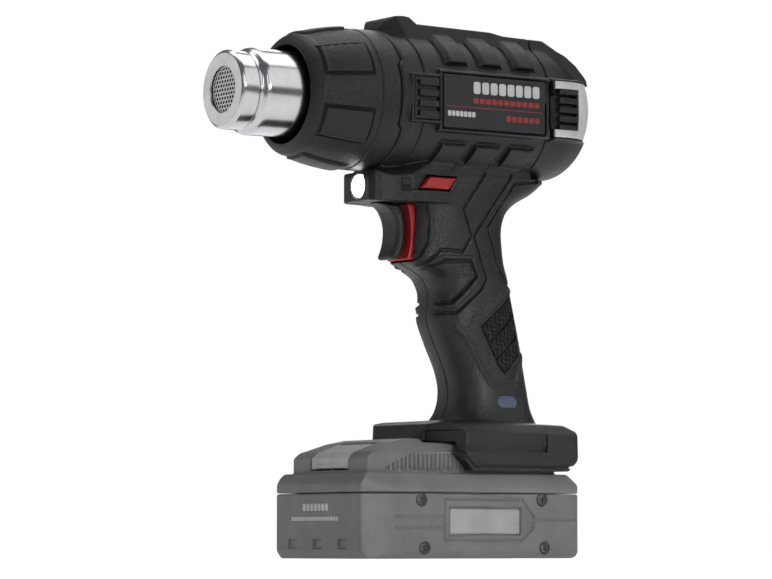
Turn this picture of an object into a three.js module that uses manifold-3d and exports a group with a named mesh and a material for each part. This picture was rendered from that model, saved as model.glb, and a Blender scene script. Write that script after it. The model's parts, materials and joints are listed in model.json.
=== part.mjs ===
// A cordless heat gun standing on its slide-on battery pack.
// Millimetres, +Z up. The nozzle points along -X and the tool's left side is at -Y.
// The origin is on the floor, under the middle of the whole tool.

import * as THREE from 'three';
import { mergeVertices } from 'three/addons/utils/BufferGeometryUtils.js';
import Module from 'manifold-3d';

const wasm = await Module();
wasm.setup();

// Driving dimensions -------------------------------------------------------------------------

const GAP = 0.3;                 // clearance between neighbouring pieces
const WALL = 2.6;                // thickness of the moulded shells

const AXIS_Z = 206.5;            // height of the barrel's axis
const NOZZLE_X = -94;            // open end of the nozzle
const REAR_X = 94;               // back of the keys, the rearmost point
const CAP_BACK_X = 93.4;         // flat back of the rear cap
const CONE_LIP_X = -62.2;        // front lip of the nose cone
const CONE_SEAM_X = -17;         // joint between nose cone and housing
const CAP_SEAM_X = 62.8;         // joint between housing and rear cap
const BARREL_R = 31.9;
const BAND_HALF = 33;            // half the width across the flat side bands
const BAND_Z = [191, 219.5];     // lower and upper edge of the side bands

const NOZZLE_R = 17.6;           // bright front ring
const TUBE_R = 19.4;             // steel tube that runs back into the cone
const OUTLET_R = 10.3;           // hot air outlet
const TUBE_END_X = -24;

const HANDLE_TOP_Z = 161;        // underside of the neck, above the trigger
const NECK_TOP_Z = 174.1;        // top of the neck behind the housing
const NECK_HALF = 18.8;          // half the width of the neck
const LED_FRONT_X = -22.6;
const LED_Z = 167.6;
const LED_R = 5.4;
const FOOT_Z = [39.3, 62];
const FOOT_HALF = 37;

const PACK_X = [-43.8, 75.4];    // front and back of the battery pack
const PACK_HALF = 37.5;
const TRAY_TOP_Z = 29;           // joint between the pack's tray and lid
const DECK_Z = 38;               // shoulder deck of the pack
const HUMP_TOP_Z = 53.4;
const SLIDE_TOP_Z = 51.8;        // top of the pack's part that slides under the foot

const MOTOR_R = 14;
const MOTOR_X = [16, 46];
const SHAFT_R = 1.5;
const TRIGGER_TRAVEL = 6;
const TRIGGER_Z = 148;           // height of the trigger's spring and the switch
const FRAME_BACK_X = 17;         // back of the trigger frame at rest
const SPRING_SHORT = 7.4;        // length of the trigger spring when squeezed
const SWITCH_X = FRAME_BACK_X + TRIGGER_TRAVEL + SPRING_SHORT;
const LOCK_TRAVEL = 4;
const HEATER_X = [-77, -30];     // heating element inside the tube

// Finishes -----------------------------------------------------------------------------------

const FINISH = {
  shell: [0x1d1e20, 0.55, 0],
  softBlack: [0x151618, 0.75, 0],
  red: [0xb3141d, 0.45, 0],
  chrome: [0xc9cbce, 0.18, 1],
  steel: [0x9a9c9f, 0.35, 1],
  silver: [0xa9abad, 0.35, 0.4],
  label: [0x3a3c40, 0.5, 0],
  glass: [0x14181c, 0.1, 0],
  lamp: [0xffffff, 0.2, 0],
  board: [0x1f5a34, 0.6, 0],
  brass: [0xc09a4a, 0.35, 1],
  mica: [0xb9ab8a, 0.8, 0],
  wire: [0x6d6862, 0.5, 1],
  cell: [0x2f6f9f, 0.5, 0],
  pack: [0x56585b, 0.6, 0],
  packLight: [0x77797c, 0.6, 0],
};

const tool = new THREE.Group();

// Solid helpers ------------------------------------------------------------------------------

function signedVolume(vertices, triangles) {
  const a = new THREE.Vector3();
  const b = new THREE.Vector3();
  const c = new THREE.Vector3();
  let volume = 0;
  for (let i = 0; i < triangles.length; i += 3) {
    a.fromArray(vertices, 3 * triangles[i]);
    b.fromArray(vertices, 3 * triangles[i + 1]);
    c.fromArray(vertices, 3 * triangles[i + 2]);
    volume += a.dot(b.cross(c));
  }
  return volume;
}

// A closed three.js geometry becomes a solid with its faces pointing out.
function solid(geometry) {
  const bare = new THREE.BufferGeometry();
  bare.setAttribute('position', geometry.getAttribute('position').clone());
  bare.setIndex(geometry.getIndex());
  const merged = mergeVertices(bare, 1e-4);
  const vertProperties = new Float32Array(merged.getAttribute('position').array);
  const all = Array.from(merged.getIndex().array);
  const triVerts = [];
  for (let i = 0; i < all.length; i += 3) {
    const [p, q, r] = all.slice(i, i + 3);
    if (p !== q && q !== r && r !== p) triVerts.push(p, q, r);
  }
  if (signedVolume(vertProperties, triVerts) < 0) triVerts.reverse();
  const mesh = new wasm.Mesh({ numProp: 3, vertProperties, triVerts: new Uint32Array(triVerts) });
  return new wasm.Manifold(mesh);
}

function geometryOf(shape) {
  const mesh = shape.getMesh();
  const geometry = new THREE.BufferGeometry();
  geometry.setAttribute('position', new THREE.BufferAttribute(mesh.vertProperties.slice(), 3));
  geometry.setIndex(new THREE.BufferAttribute(mesh.triVerts.slice(), 1));
  geometry.computeVertexNormals();
  return geometry;
}

function addPiece(name, shape, finish) {
  const [color, roughness, metalness] = FINISH[finish];
  const looks = { color, roughness, metalness, flatShading: true };
  const material = new THREE.MeshStandardMaterial(looks);
  const piece = new THREE.Mesh(geometryOf(shape), material);
  piece.name = name;
  tool.add(piece);
}

function join(...shapes) {
  return shapes.reduce((sum, shape) => sum.add(shape));
}

function cut(shape, ...tools) {
  return tools.reduce((rest, other) => rest.subtract(other), shape);
}

function box(x0, x1, y0, y1, z0, z1) {
  const geometry = new THREE.BoxGeometry(x1 - x0, y1 - y0, z1 - z0);
  geometry.translate((x0 + x1) / 2, (y0 + y1) / 2, (z0 + z1) / 2);
  return solid(geometry);
}

// A box that is the same on both sides of the middle plane.
function midBox(x0, x1, half, z0, z1) {
  return box(x0, x1, -half, half, z0, z1);
}

// Cylinders along each axis, between two stations.
function rodX(radius, x0, x1, y, z, sides = 24) {
  const geometry = new THREE.CylinderGeometry(radius, radius, x1 - x0, sides);
  geometry.rotateZ(-Math.PI / 2);
  geometry.translate((x0 + x1) / 2, y, z);
  return solid(geometry);
}

function rodY(radius, y0, y1, x, z, sides = 24) {
  const geometry = new THREE.CylinderGeometry(radius, radius, y1 - y0, sides);
  geometry.translate(x, (y0 + y1) / 2, z);
  return solid(geometry);
}

// A closed profile of [x, radius] points turned about the barrel's axis.
function turned(profile, sides = 32) {
  const points = profile.map(([x, r]) => new THREE.Vector2(r, x));
  points.push(points[0].clone());
  const geometry = new THREE.LatheGeometry(points, sides);
  geometry.rotateZ(-Math.PI / 2);
  geometry.translate(0, 0, AXIS_Z);
  return solid(geometry);
}

function outlineShape(points) {
  return new THREE.Shape(points.map(([u, v]) => new THREE.Vector2(u, v)));
}

function extruded(points, depth) {
  return new THREE.ExtrudeGeometry(outlineShape(points), { depth, bevelEnabled: false });
}

// Side-view outline of [x, z] points, from y0 to y1.
function plateY(points, y0, y1) {
  const geometry = extruded(points, y1 - y0);
  geometry.rotateX(Math.PI / 2);
  geometry.translate(0, y1, 0);
  return solid(geometry);
}

// Plan outline of [x, y] points, from z0 to z1.
function plateZ(points, z0, z1) {
  const geometry = extruded(points, z1 - z0);
  geometry.translate(0, 0, z0);
  return solid(geometry);
}

// Front-view outline of [y, z] points, from x0 to x1.
function plateX(points, x0, x1) {
  const geometry = extruded(points, x1 - x0);
  const basis = new THREE.Matrix4().makeBasis(
    new THREE.Vector3(0, 1, 0), new THREE.Vector3(0, 0, 1), new THREE.Vector3(1, 0, 0));
  geometry.applyMatrix4(basis);
  geometry.translate(x0, 0, 0);
  return solid(geometry);
}

// Half of a plan outline, [x, y] points with y above 0, made whole.
function mirrored(half) {
  const other = half.filter(([, y]) => y !== 0).map(([x, y]) => [x, -y]).reverse();
  return [...half, ...other];
}

// Half of a front outline, [y, z] points with y above 0, made whole.
function mirroredFront(half) {
  const other = half.map(([y, z]) => [-y, z]).reverse();
  return [...half, ...other];
}

// A column whose horizontal sections are superellipses: { z, front, rear, half }.
function column(sections, inset = 0, sides = 24, squareness = 2.7) {
  const rows = sections.length - 1;
  const geometry = new THREE.CylinderGeometry(1, 1, 1, sides, rows);
  const position = geometry.getAttribute('position');
  const round = (value) => Math.sign(value) * Math.abs(value) ** (2 / squareness);
  for (let i = 0; i < position.count; i += 1) {
    const row = Math.round((0.5 - position.getY(i)) * rows);
    const { z, front, rear, half } = sections[row];
    const reach = (rear - front) / 2 - inset;
    const x = (front + rear) / 2 + reach * round(position.getX(i));
    const y = (half - inset) * round(position.getZ(i));
    position.setXYZ(i, x, y, z);
  }
  return solid(geometry);
}

function mirrorY(shape) {
  return shape.mirror([0, 1, 0]);
}

// Hot end ------------------------------------------------------------------------------------

const TUBE_SKIN = 0.9;

function nozzleTube() {
  const skin = TUBE_SKIN;
  const rim = NOZZLE_X + 1.6;
  const step = NOZZLE_X + 8.8;
  const shoulder = NOZZLE_X + 12.6;
  return turned([
    [NOZZLE_X, OUTLET_R], [NOZZLE_X, NOZZLE_R - 1.6], [NOZZLE_X + 0.5, NOZZLE_R - 0.5],
    [rim, NOZZLE_R], [step, NOZZLE_R], [shoulder, TUBE_R], [TUBE_END_X, TUBE_R],
    [TUBE_END_X, TUBE_R - skin], [shoulder + 0.4, TUBE_R - skin], [step + 0.4, NOZZLE_R - skin],
    [rim, NOZZLE_R - skin], [NOZZLE_X + 1, NOZZLE_R - 2.2], [NOZZLE_X + 1, OUTLET_R],
  ], 40);
}

// Round sieve behind the outlet, with its holes on a hexagonal grid.
function outletScreen() {
  const pitch = 3.9;
  const holeR = 1.5;
  const front = NOZZLE_X + 1 + GAP;
  let screen = rodX(13.4, front, front + 0.8, 0, AXIS_Z, 32);
  for (let row = -2; row <= 2; row += 1) {
    const count = 5 - Math.abs(row);
    for (let i = 0; i < count; i += 1) {
      const y = (i - (count - 1) / 2) * pitch;
      const z = AXIS_Z + row * pitch * Math.sqrt(3) / 2;
      screen = cut(screen, rodX(holeR, front - 1, front + 2, y, z, 6));
    }
  }
  return screen;
}

function micaSleeve() {
  const outer = TUBE_R - TUBE_SKIN - GAP;
  const inner = outer - 0.6;
  const [x0, x1] = [HEATER_X[0] - 3, HEATER_X[1] + 4];
  return turned([[x0, outer], [x1, outer], [x1, inner], [x0, inner]], 32);
}

const COIL_R = 14.6;

// Two crossed plates that carry the heating coil.
function heaterFormer() {
  const [x0, x1] = HEATER_X;
  const reach = COIL_R - 1.4;
  const plate = 0.6;
  return join(
    midBox(x0, x1, reach, AXIS_Z - plate, AXIS_Z + plate),
    midBox(x0, x1, plate, AXIS_Z - reach, AXIS_Z + reach));
}

class Helix extends THREE.Curve {
  getPoint(t, target = new THREE.Vector3()) {
    const turns = 10;
    const angle = 2 * Math.PI * turns * t;
    const [x0, x1] = [HEATER_X[0] + 2, HEATER_X[1] - 3];
    const x = x0 + (x1 - x0) * t;
    return target.set(x, COIL_R * Math.cos(angle), AXIS_Z + COIL_R * Math.sin(angle));
  }
}

function circleOutline(radius, sides) {
  const angles = Array.from({ length: sides }, (_, i) => (2 * Math.PI * i) / sides);
  return angles.map((a) => [radius * Math.cos(a), radius * Math.sin(a)]);
}

function heatingCoil() {
  const section = outlineShape(circleOutline(0.55, 4));
  const options = { steps: 90, extrudePath: new Helix(), bevelEnabled: false };
  return solid(new THREE.ExtrudeGeometry(section, options));
}

function thermalCutout() {
  const aside = 6.4;
  const back = HEATER_X[1] - 5;
  return rodX(2.3, back - 9, back, aside, AXIS_Z + aside, 12);
}

// Duct that carries the fan's air into the steel tube.
function airDuct() {
  const skin = 1.4;
  const neck = TUBE_R + GAP;
  const wide = BARREL_R - WALL - GAP - 0.6;
  const [front, back] = [HEATER_X[1] - 6, MOTOR_X[0] - 4];
  return turned([
    [front, neck], [front, neck + skin], [-22, neck + skin], [-4, wide], [back, wide],
    [back, wide - skin], [-3.4, wide - skin], [-22.4, neck],
  ], 32);
}

// Outer profile of the nose cone, from lip to seam.
const CONE_PROFILE = [
  [CONE_LIP_X, 22.1], [CONE_LIP_X, 23.4], [CONE_LIP_X + 1, 24.2], [-60, 26.2], [-54, 27.9],
  [-48, 29.3], [-40, 30.7], [-31, 31.7], [CONE_SEAM_X - GAP, 32],
];

// Six raised plates round the cone, each a wedge of a slightly larger cone.
function conePlates() {
  const lift = 1.1;
  const plate = turned([
    [-57, 24], [-57, 26.6], [-55, 27.6 + lift], [-48, 29.3 + lift], [-40, 30.7 + lift],
    [-35, 31.3 + lift], [-33, 31.3], [-33, 24],
  ]);
  const wedge = (angle) => {
    const spread = 0.36;
    const far = 60;
    const corner = (a) => [far * Math.cos(a), AXIS_Z + far * Math.sin(a)];
    const outline = [[0, AXIS_Z], corner(angle - spread), corner(angle + spread)];
    return plateX(outline, -60, -20);
  };
  const angles = [0, 1, 2, 3, 4, 5].map((i) => (Math.PI / 3) * (i + 0.5));
  return plate.intersect(join(...angles.map(wedge)));
}

function noseCone() {
  const inner = CONE_PROFILE.slice(3).reverse().map(([x, r]) => [x + 0.6, r - WALL]);
  inner[0] = [CONE_SEAM_X - GAP, 32 - WALL];
  const shell = turned([...CONE_PROFILE, ...inner, [CONE_LIP_X + 3, 22.1]]);
  return join(shell, conePlates());
}

// Fan and motor ------------------------------------------------------------------------------

function motorCan() {
  const [front, back] = MOTOR_X;
  const can = rodX(MOTOR_R, front, back, 0, AXIS_Z, 28);
  const boss = rodX(5, front - 2.5, front + 1, 0, AXIS_Z, 16);
  const bore = rodX(SHAFT_R + GAP, front - 5, back + 5, 0, AXIS_Z, 24);
  return cut(join(can, boss), bore);
}

function fanShaft() {
  return rodX(SHAFT_R, -4, MOTOR_X[1] - 1, 0, AXIS_Z, 24);
}

function fanImpeller() {
  const bore = SHAFT_R + GAP;
  const discR = 24;
  const back = MOTOR_X[0] - 6;
  const hub = turned([
    [-3, bore], [-3, 4.5], [back - 2, 6], [back - 1.4, discR], [back, discR], [back, bore],
  ], 28);
  const count = 9;
  const blades = [];
  for (let i = 0; i < count; i += 1) {
    const blade = box(-2, back - 1, 5, discR - 0.4, -0.6, 0.6);
    blades.push(blade.rotate([(360 / count) * i, 0, 0]).translate([0, 0, AXIS_Z]));
  }
  return join(hub, ...blades);
}

// Ring that holds the motor in the housing, with windows for the air.
function motorMount() {
  const outer = BARREL_R - WALL - GAP;
  const inner = MOTOR_R + GAP;
  const middle = (inner + outer) / 2;
  const [x0, x1] = [MOTOR_X[0] + 4, MOTOR_X[0] + 7];
  const ring = turned([[x0, inner], [x0, outer], [x1, outer], [x1, inner]]);
  const windows = [0, 1, 2, 3, 4, 5].map((i) => {
    const angle = (Math.PI / 3) * i;
    const [y, z] = [middle * Math.cos(angle), AXIS_Z + middle * Math.sin(angle)];
    return rodX(4.4, x0 - 2, x1 + 2, y, z, 10);
  });
  return cut(ring, ...windows);
}

// Housing ------------------------------------------------------------------------------------

// Stations of the neck and handle, from the top down.
const HANDLE_SECTIONS = [
  { z: 181, front: 2, rear: 72, half: 18 },
  { z: NECK_TOP_Z, front: 2, rear: 76, half: NECK_HALF },
  { z: 168.2, front: 2, rear: 70.4, half: NECK_HALF },
  { z: 162, front: 2.5, rear: 59.8, half: 18.4 },
  { z: 158.5, front: 3.4, rear: 56.4, half: 18.1 },
  { z: 154, front: 4, rear: 54.5, half: 17.8 },
  { z: 141, front: 3, rear: 54.4, half: 17.3 },
  { z: 133, front: -2.7, rear: 56, half: 17.2 },
  { z: 131.3, front: 1, rear: 56.5, half: 17.2 },
  { z: 128, front: 9, rear: 57.2, half: 17.2 },
  { z: 124, front: 12.8, rear: 58, half: 17.2 },
  { z: 107.6, front: 14.6, rear: 62, half: 17 },
  { z: 97.7, front: 18.5, rear: 64.5, half: 16.6 },
  { z: 84, front: 24.6, rear: 67.1, half: 16.2 },
  { z: 77, front: 26.1, rear: 68.3, half: 16.6 },
  { z: 67, front: 24.2, rear: 70.2, half: 18.4 },
  { z: 62, front: 21, rear: 71.6, half: 20.5 },
  { z: 58, front: 20, rear: 72, half: 21.5 },
];

const LABEL_X = [2, 59.5];
const LABEL_Z = [BAND_Z[0] + 1.6, BAND_Z[1] - 2];
const VENT_X = [-13, 0.4];       // front air grilles
const VENT_Z = [196, 215];
const BLOCK_RIM = 1.2;           // frame left standing round the plates and grilles

const BARREL_PROFILE = [
  [CONE_SEAM_X, 0], [CONE_SEAM_X, BARREL_R], [CAP_SEAM_X, BARREL_R], [CAP_SEAM_X, 0],
];

const SPINE_OUTLINE = [
  [-18, 232], [-18, 238.8], [-5, 244], [-1.6, 245], [1, 244.8], [5.5, 241.6],
  [42, 240.9], [49, 239.6], [CAP_SEAM_X, 239.4], [CAP_SEAM_X, 232],
];

// Ridge along the top: a wide chamfered bar with the side outline given.
function spine(outline, x0, x1) {
  const half = 12;
  const shoulder = 15;
  const section = mirroredFront([[half, 246], [shoulder, 238], [shoulder + 3, 228]]);
  return plateY(outline, -20, 20).intersect(plateX(section, x0, x1));
}

function sideBand(x0, x1) {
  const half = BAND_HALF;
  const [z0, z1] = BAND_Z;
  const bevel = 1.6;
  const section = mirroredFront([
    [half - bevel, z1], [half, z1 - bevel], [half, z0 + bevel], [half - bevel, z0],
  ]);
  return plateX(section, x0, x1);
}

// Block on each side that frames the front air grille.
function ventBlock() {
  const [x0, x1] = VENT_X;
  const [z0, z1] = VENT_Z;
  const rim = BLOCK_RIM;
  return midBox(x0 - rim, x1 + rim + 2, BAND_HALF - 0.4, z0 - rim, z1 + rim);
}

// Raised tread blocks above and below the side bands.
function treadBlocks() {
  const starts = [6.3, 25.1, 44.2];
  const length = 11.6;
  const lift = 2.2;
  const far = 60;
  const corner = (degrees) => {
    const angle = THREE.MathUtils.degToRad(degrees);
    return [far * Math.cos(angle), AXIS_Z + far * Math.sin(angle)];
  };
  const arcs = [[30, 66], [-62, -34], [114, 150], [214, 242]];
  const wedges = arcs.map(([low, high]) => {
    const outline = [[0, AXIS_Z], corner(low), corner(high)];
    return plateX(outline, 0, 60);
  });
  const rings = starts.map((x) => turned([
    [x, 26], [x, BARREL_R], [x + lift, BARREL_R + lift], [x + length, BARREL_R + lift],
    [x + length, 26],
  ]));
  return join(...rings).intersect(join(...wedges));
}

// Plan outline of the lamp box, flaring back into the neck.
const LAMP_BOX_PLAN = mirrored([
  [LED_FRONT_X, 0], [LED_FRONT_X, 9.5], [LED_FRONT_X + 1.4, 12.6], [LED_FRONT_X + 4.5, 14],
  [-12, 15], [-4, NECK_HALF], [24, NECK_HALF], [24, 0],
]);

function lampBox(inset, z0, z1) {
  const shrink = (plan) => plan.map(([x, y]) => {
    const side = Math.sign(y) * Math.min(Math.abs(y), inset);
    return [x + (x < 0 ? inset : 0), y - side];
  });
  return plateZ(inset ? shrink(LAMP_BOX_PLAN) : LAMP_BOX_PLAN, z0, z1);
}

const FOOT_SIDE = [
  [-4.6, 52.2], [3, 52.2], [15.4, FOOT_Z[0]], [69, FOOT_Z[0]], [76, 45.6], [74.4, 57.6],
  [70, 60.4], [30, FOOT_Z[1]], [8, FOOT_Z[1]], [1.4, 60.2],
];

const FOOT_PLAN = mirrored([
  [-4.6, 0], [-4.6, 14], [12, FOOT_HALF], [73.6, FOOT_HALF], [76, 34.6], [76, 0],
]);

function footBlock() {
  const section = mirroredFront([[22, 63], [31, 60.6], [FOOT_HALF, 55.5], [FOOT_HALF, 38]]);
  return plateY(FOOT_SIDE, -40, 40)
    .intersect(plateZ(FOOT_PLAN, 30, 70))
    .intersect(plateX(section, -10, 80));
}

// Space inside the foot for the pack's slide block, open to the front and below.
function footMouth() {
  return join(midBox(-10, 66.4, 30.6, 30, 52.1), midBox(60, 71, 30.6, 43.8, 52.1));
}

function slideRails() {
  return join(box(20, 66, 26.8, 31.4, 42, 44.6), box(20, 66, -31.4, -26.8, 42, 44.6));
}

function handleSections(top, bottom) {
  return HANDLE_SECTIONS.filter(({ z }) => z <= top && z >= bottom);
}

// Every other section is enough for the inside of the handle.
function hollowSections(top, bottom) {
  const sections = handleSections(top, bottom);
  return sections.filter((_, i) => i % 2 === 0 || i === sections.length - 1);
}

// The tool's main moulding before it is split: barrel, ridge, neck, handle and foot.
function housingOuter() {
  const neckTrim = midBox(CAP_SEAM_X - GAP, 90, 40, NECK_TOP_Z, 190);
  const neck = cut(column(HANDLE_SECTIONS), neckTrim);
  return join(
    turned(BARREL_PROFILE),
    spine(SPINE_OUTLINE, CONE_SEAM_X, CAP_SEAM_X),
    sideBand(LABEL_X[0] - BLOCK_RIM, CAP_SEAM_X),
    ventBlock(),
    treadBlocks(),
    lampBox(0, HANDLE_TOP_Z - 0.3, NECK_TOP_Z),
    lampBox(0, NECK_TOP_Z - 1, 180).intersect(midBox(CONE_SEAM_X + GAP, 40, 30, 170, 190)),
    neck,
    footBlock());
}

function housingHollow() {
  const barrel = turned([
    [CONE_SEAM_X - 5, 0], [CONE_SEAM_X - 5, BARREL_R - WALL], [CAP_SEAM_X + 5, BARREL_R - WALL],
    [CAP_SEAM_X + 5, 0],
  ]);
  const grip = column(hollowSections(174.1, 58), WALL, 20);
  const lamp = lampBox(WALL, HANDLE_TOP_Z + WALL - 0.3, NECK_TOP_Z - WALL);
  const neckLink = midBox(16, 56, 12, 170, 180);
  const terminalShaft = midBox(38, 71, 13.3, 50, 58);
  const sole = midBox(6, 66, 27, 54.7, 57.6);
  return join(barrel, grip, lamp, neckLink, terminalShaft, sole);
}

// Openings for the pieces that sit in or pass through the housing's wall.
function housingOpenings() {
  const [padX, padHalf] = [-30, TRIGGER_HALF + 0.5];
  const trigger = midBox(padX, SWITCH_X + 0.6, padHalf, PAD_LOW_Z - 0.7, HANDLE_TOP_Z - GAP);
  const lamp = rodX(LED_R + GAP, LED_FRONT_X - 5, LED_FRONT_X + 6, 0, LED_Z, 24);
  const lock = plateY(lockOutline(GAP), -30, 30);
  return join(trigger, lamp, lock, labelPlate(GAP), mirrorY(labelPlate(GAP)));
}

function ventOpenings() {
  const side = join(frontVent(GAP), gripPad(GAP));
  return join(side, mirrorY(side));
}

function housingHalf(side) {
  const reach = side > 0 ? [GAP / 2, 60] : [-60, -GAP / 2];
  const keep = box(-120, 120, reach[0], reach[1], -10, 260);
  const openings = [footMouth(), housingOpenings(), ventOpenings()];
  const shell = cut(housingOuter(), housingHollow(), ...openings);
  const half = join(shell, screwBosses(), slideRails()).intersect(keep);
  return cut(half, ...screwHoles());
}

// Cross-bolt housing screws, driven in from the right.
const SCREW_PLACES = [
  { x: 48, z: 167, surfaceY: 18.4 },
  { x: 30, z: 112, surfaceY: 16.6 },
  { x: 58, z: 74, surfaceY: 16.4 },
  { x: -8, z: 167, surfaceY: 16.4 },
];
const HEAD_DEEP = 4.2;           // inner face of a screw's head, below the surface


function screw({ x, z, surfaceY }, clearance = 0) {
  const deep = surfaceY - HEAD_DEEP;
  const top = clearance ? surfaceY + 5 : surfaceY - 1.6;
  const head = rodY(3 + clearance, deep, top, x, z, 12);
  const shank = rodY(1.5 + clearance, -8 - clearance, deep + 0.4, x, z, 10);
  return join(head, shank);
}

function screwBosses() {
  const bosses = SCREW_PLACES.map(({ x, z, surfaceY }) => {
    return rodY(4.2, 1 - surfaceY, surfaceY - 1.4, x, z, 14);
  });
  return join(...bosses);
}

function screwHoles() {
  return SCREW_PLACES.map((place) => screw(place, GAP));
}

// Side trim ----------------------------------------------------------------------------------

function labelPlate(grow) {
  const [x0, x1] = [LABEL_X[0] - grow, LABEL_X[1] + grow];
  const [z0, z1] = [LABEL_Z[0] - grow, LABEL_Z[1] + grow];
  const outside = grow ? 6 : 0.2;
  return box(x0, x1, -BAND_HALF - outside, -BAND_HALF + 1.4 + grow, z0, z1);
}

// Ribbed air grille ahead of the label.
function frontVent(grow) {
  const [x0, x1] = [VENT_X[0] - grow, VENT_X[1] + grow];
  const [z0, z1] = [VENT_Z[0] - grow, VENT_Z[1] + grow];
  const face = BAND_HALF - 0.5;
  const block = box(x0, x1, grow ? -36 : -face, -29.6 + grow, z0, z1);
  if (grow) return block;
  const slotHalf = 0.5;
  const slots = [200.7, 205.2, 209.7].map((z) => {
    return box(x0 + 2, x1 + 1, -40, -face + 1.2, z - slotHalf, z + slotHalf);
  });
  return cut(block, ...slots);
}

// Textured soft patch on the back of the grip.
function gripPad(grow) {
  const outline = [
    [38.5, 105.5], [49, 114.8], [53.8, 112.8], [55.2, 91.5], [50.2, 86], [43.4, 95],
  ];
  const centre = [49, 101];
  const scaled = outline.map(([x, z]) => {
    const dx = x - centre[0];
    const dz = z - centre[1];
    const reach = Math.hypot(dx, dz);
    return [centre[0] + dx * (1 + grow / reach), centre[1] + dz * (1 + grow / reach)];
  });
  const stations = handleSections(124, 77);
  const depth = 1.2;
  const outside = column(stations, grow ? -2 : 0);
  return cut(outside, column(stations, depth + grow)).intersect(plateY(scaled, -30, 0));
}

// Rear cap -----------------------------------------------------------------------------------

const CAP_CORNER_R = 19;         // plan radius of the cap's back corners
const CAP_SPINE_OUTLINE = [
  [CAP_SEAM_X, 220], [CAP_SEAM_X, 239.3], [71, 239.1], [78.6, 234.6], [83, 232.6],
  [88, 228.4], [CAP_BACK_X, 221], [CAP_BACK_X, 220],
];
const TRIM_Z = [192.4, 218.2];
const TRIM_BAR = 3.5;            // height of the trim's upper and lower bars
const TRIM_SKIN = 1.6;
const DISPLAY_HALF = 10;
const DISPLAY_Z = [204.6, 213.6];
const KEY_R = 2.4;
const KEY_Z = 200;
const KEY_Y = { button_down: -7.6, button_mode: 0, button_up: 7.6 };

// Plan of the band round the back of the tool, pulled in by an inset.
function rearPlan(inset) {
  const steps = 8;
  const centre = [CAP_BACK_X - CAP_CORNER_R, BAND_HALF - CAP_CORNER_R];
  const radius = CAP_CORNER_R - inset;
  const half = [[CAP_SEAM_X + GAP, 0], [CAP_SEAM_X + GAP, BAND_HALF - inset]];
  for (let i = 0; i <= steps; i += 1) {
    const angle = (Math.PI / 2) * (1 - i / steps);
    half.push([centre[0] + radius * Math.cos(angle), centre[1] + radius * Math.sin(angle)]);
  }
  half.push([CAP_BACK_X - inset, 0]);
  return mirrored(half);
}

function capOuter() {
  const start = CAP_SEAM_X + GAP;
  const upper = [
    [start, 0], [start, BARREL_R], [72, BARREL_R - 0.6], [78.6, 28.4], [84, 25.5], [88, 22],
    [91.4, 17.5], [CAP_BACK_X, 13], [CAP_BACK_X, 0],
  ];
  const lower = [
    [start, 0], [start, BARREL_R], [79.5, BARREL_R - 0.4], [86.5, 29], [90.4, 25.4],
    [CAP_BACK_X, 20], [CAP_BACK_X, 0],
  ];
  const [z0, z1] = BAND_Z;
  return join(
    turned(upper).intersect(midBox(start, REAR_X, 40, AXIS_Z, 250)),
    turned(lower).intersect(midBox(start, REAR_X, 40, 150, AXIS_Z)),
    spine(CAP_SPINE_OUTLINE, start, CAP_BACK_X),
    plateZ(rearPlan(0), z0, z1).intersect(sideBand(start, REAR_X)));
}

function rearCap() {
  const start = CAP_SEAM_X - 2;
  const hollow = turned([
    [start, 0], [start, BARREL_R - WALL], [72, 28.2], [80, 24.6], [86, 20.6], [90.6, 13],
    [90.6, 0],
  ]);
  const window = midBox(90, 99, DISPLAY_HALF + GAP, DISPLAY_Z[0] - GAP, DISPLAY_Z[1] + GAP);
  const keyHoles = Object.values(KEY_Y).map((y) => rodX(KEY_R + GAP, 88, 100, y, KEY_Z, 14));
  return cut(capOuter(), hollow, window, ...keyHoles, rearTrim(GAP), rearVentSlots());
}

// Slots of the two rear air grilles, cut straight into the cap.
function rearVentSlots() {
  const rows = [198.8, 203, 207.2, 211.4];
  const slots = rows.map((z) => box(66.5, 76.5, -40, -30, z - 0.6, z + 0.6));
  const left = join(...slots);
  return join(left, mirrorY(left));
}

// Bright band round the back: a C at each side, open to the front, and a window behind.
function rearTrim(grow) {
  const [z0, z1] = [TRIM_Z[0] - grow, TRIM_Z[1] + grow];
  const [low, high] = [TRIM_Z[0] + TRIM_BAR + grow, TRIM_Z[1] - TRIM_BAR - grow];
  const outside = plateZ(rearPlan(grow ? -3 : 0), z0, z1);
  const inside = plateZ(rearPlan(TRIM_SKIN + grow), z0 - 1, z1 + 1);
  const front = midBox(50, 65 - grow, 60, 150, 250);
  const sideOpening = midBox(50, 78.8 - grow, 60, low, high);
  const backOpening = midBox(86, 110, 14 - grow, low, high);
  return cut(outside, inside, front, sideOpening, backOpening);
}

function displayWindow() {
  return midBox(91.8, CAP_BACK_X - GAP, DISPLAY_HALF, DISPLAY_Z[0], DISPLAY_Z[1]);
}

function displayBoard() {
  return midBox(84.4, 86, 12, 194, 216);
}

function key(y) {
  return join(rodX(KEY_R, 89.4, REAR_X, y, KEY_Z, 14), rodX(1.2, 87.2, 90, y, KEY_Z, 8));
}

// Boards and switch --------------------------------------------------------------------------

function mainBoard() {
  const board = midBox(54, 55.6, 20, 190, 222);
  const capacitor = rodX(5, 47.5, 54.2, -8, 200, 14);
  const heatSink = midBox(48, 54.2, 5, 210, 219);
  return join(board, capacitor, heatSink);
}

function switchModule() {
  const front = SWITCH_X + 0.6;
  const body = midBox(front, 49.5, 8.5, TRIGGER_Z - 10.5, TRIGGER_Z + 10.5);
  const plunger = rodX(2, front - 1.5, front + 0.4, 0, TRIGGER_Z, 12);
  return join(body, plunger);
}

function ledLens() {
  return join(
    rodX(LED_R, LED_FRONT_X - 0.2, LED_FRONT_X + 2.2, 0, LED_Z, 24),
    rodX(LED_R - 2, LED_FRONT_X + 2, LED_FRONT_X + 4.6, 0, LED_Z, 16));
}

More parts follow.
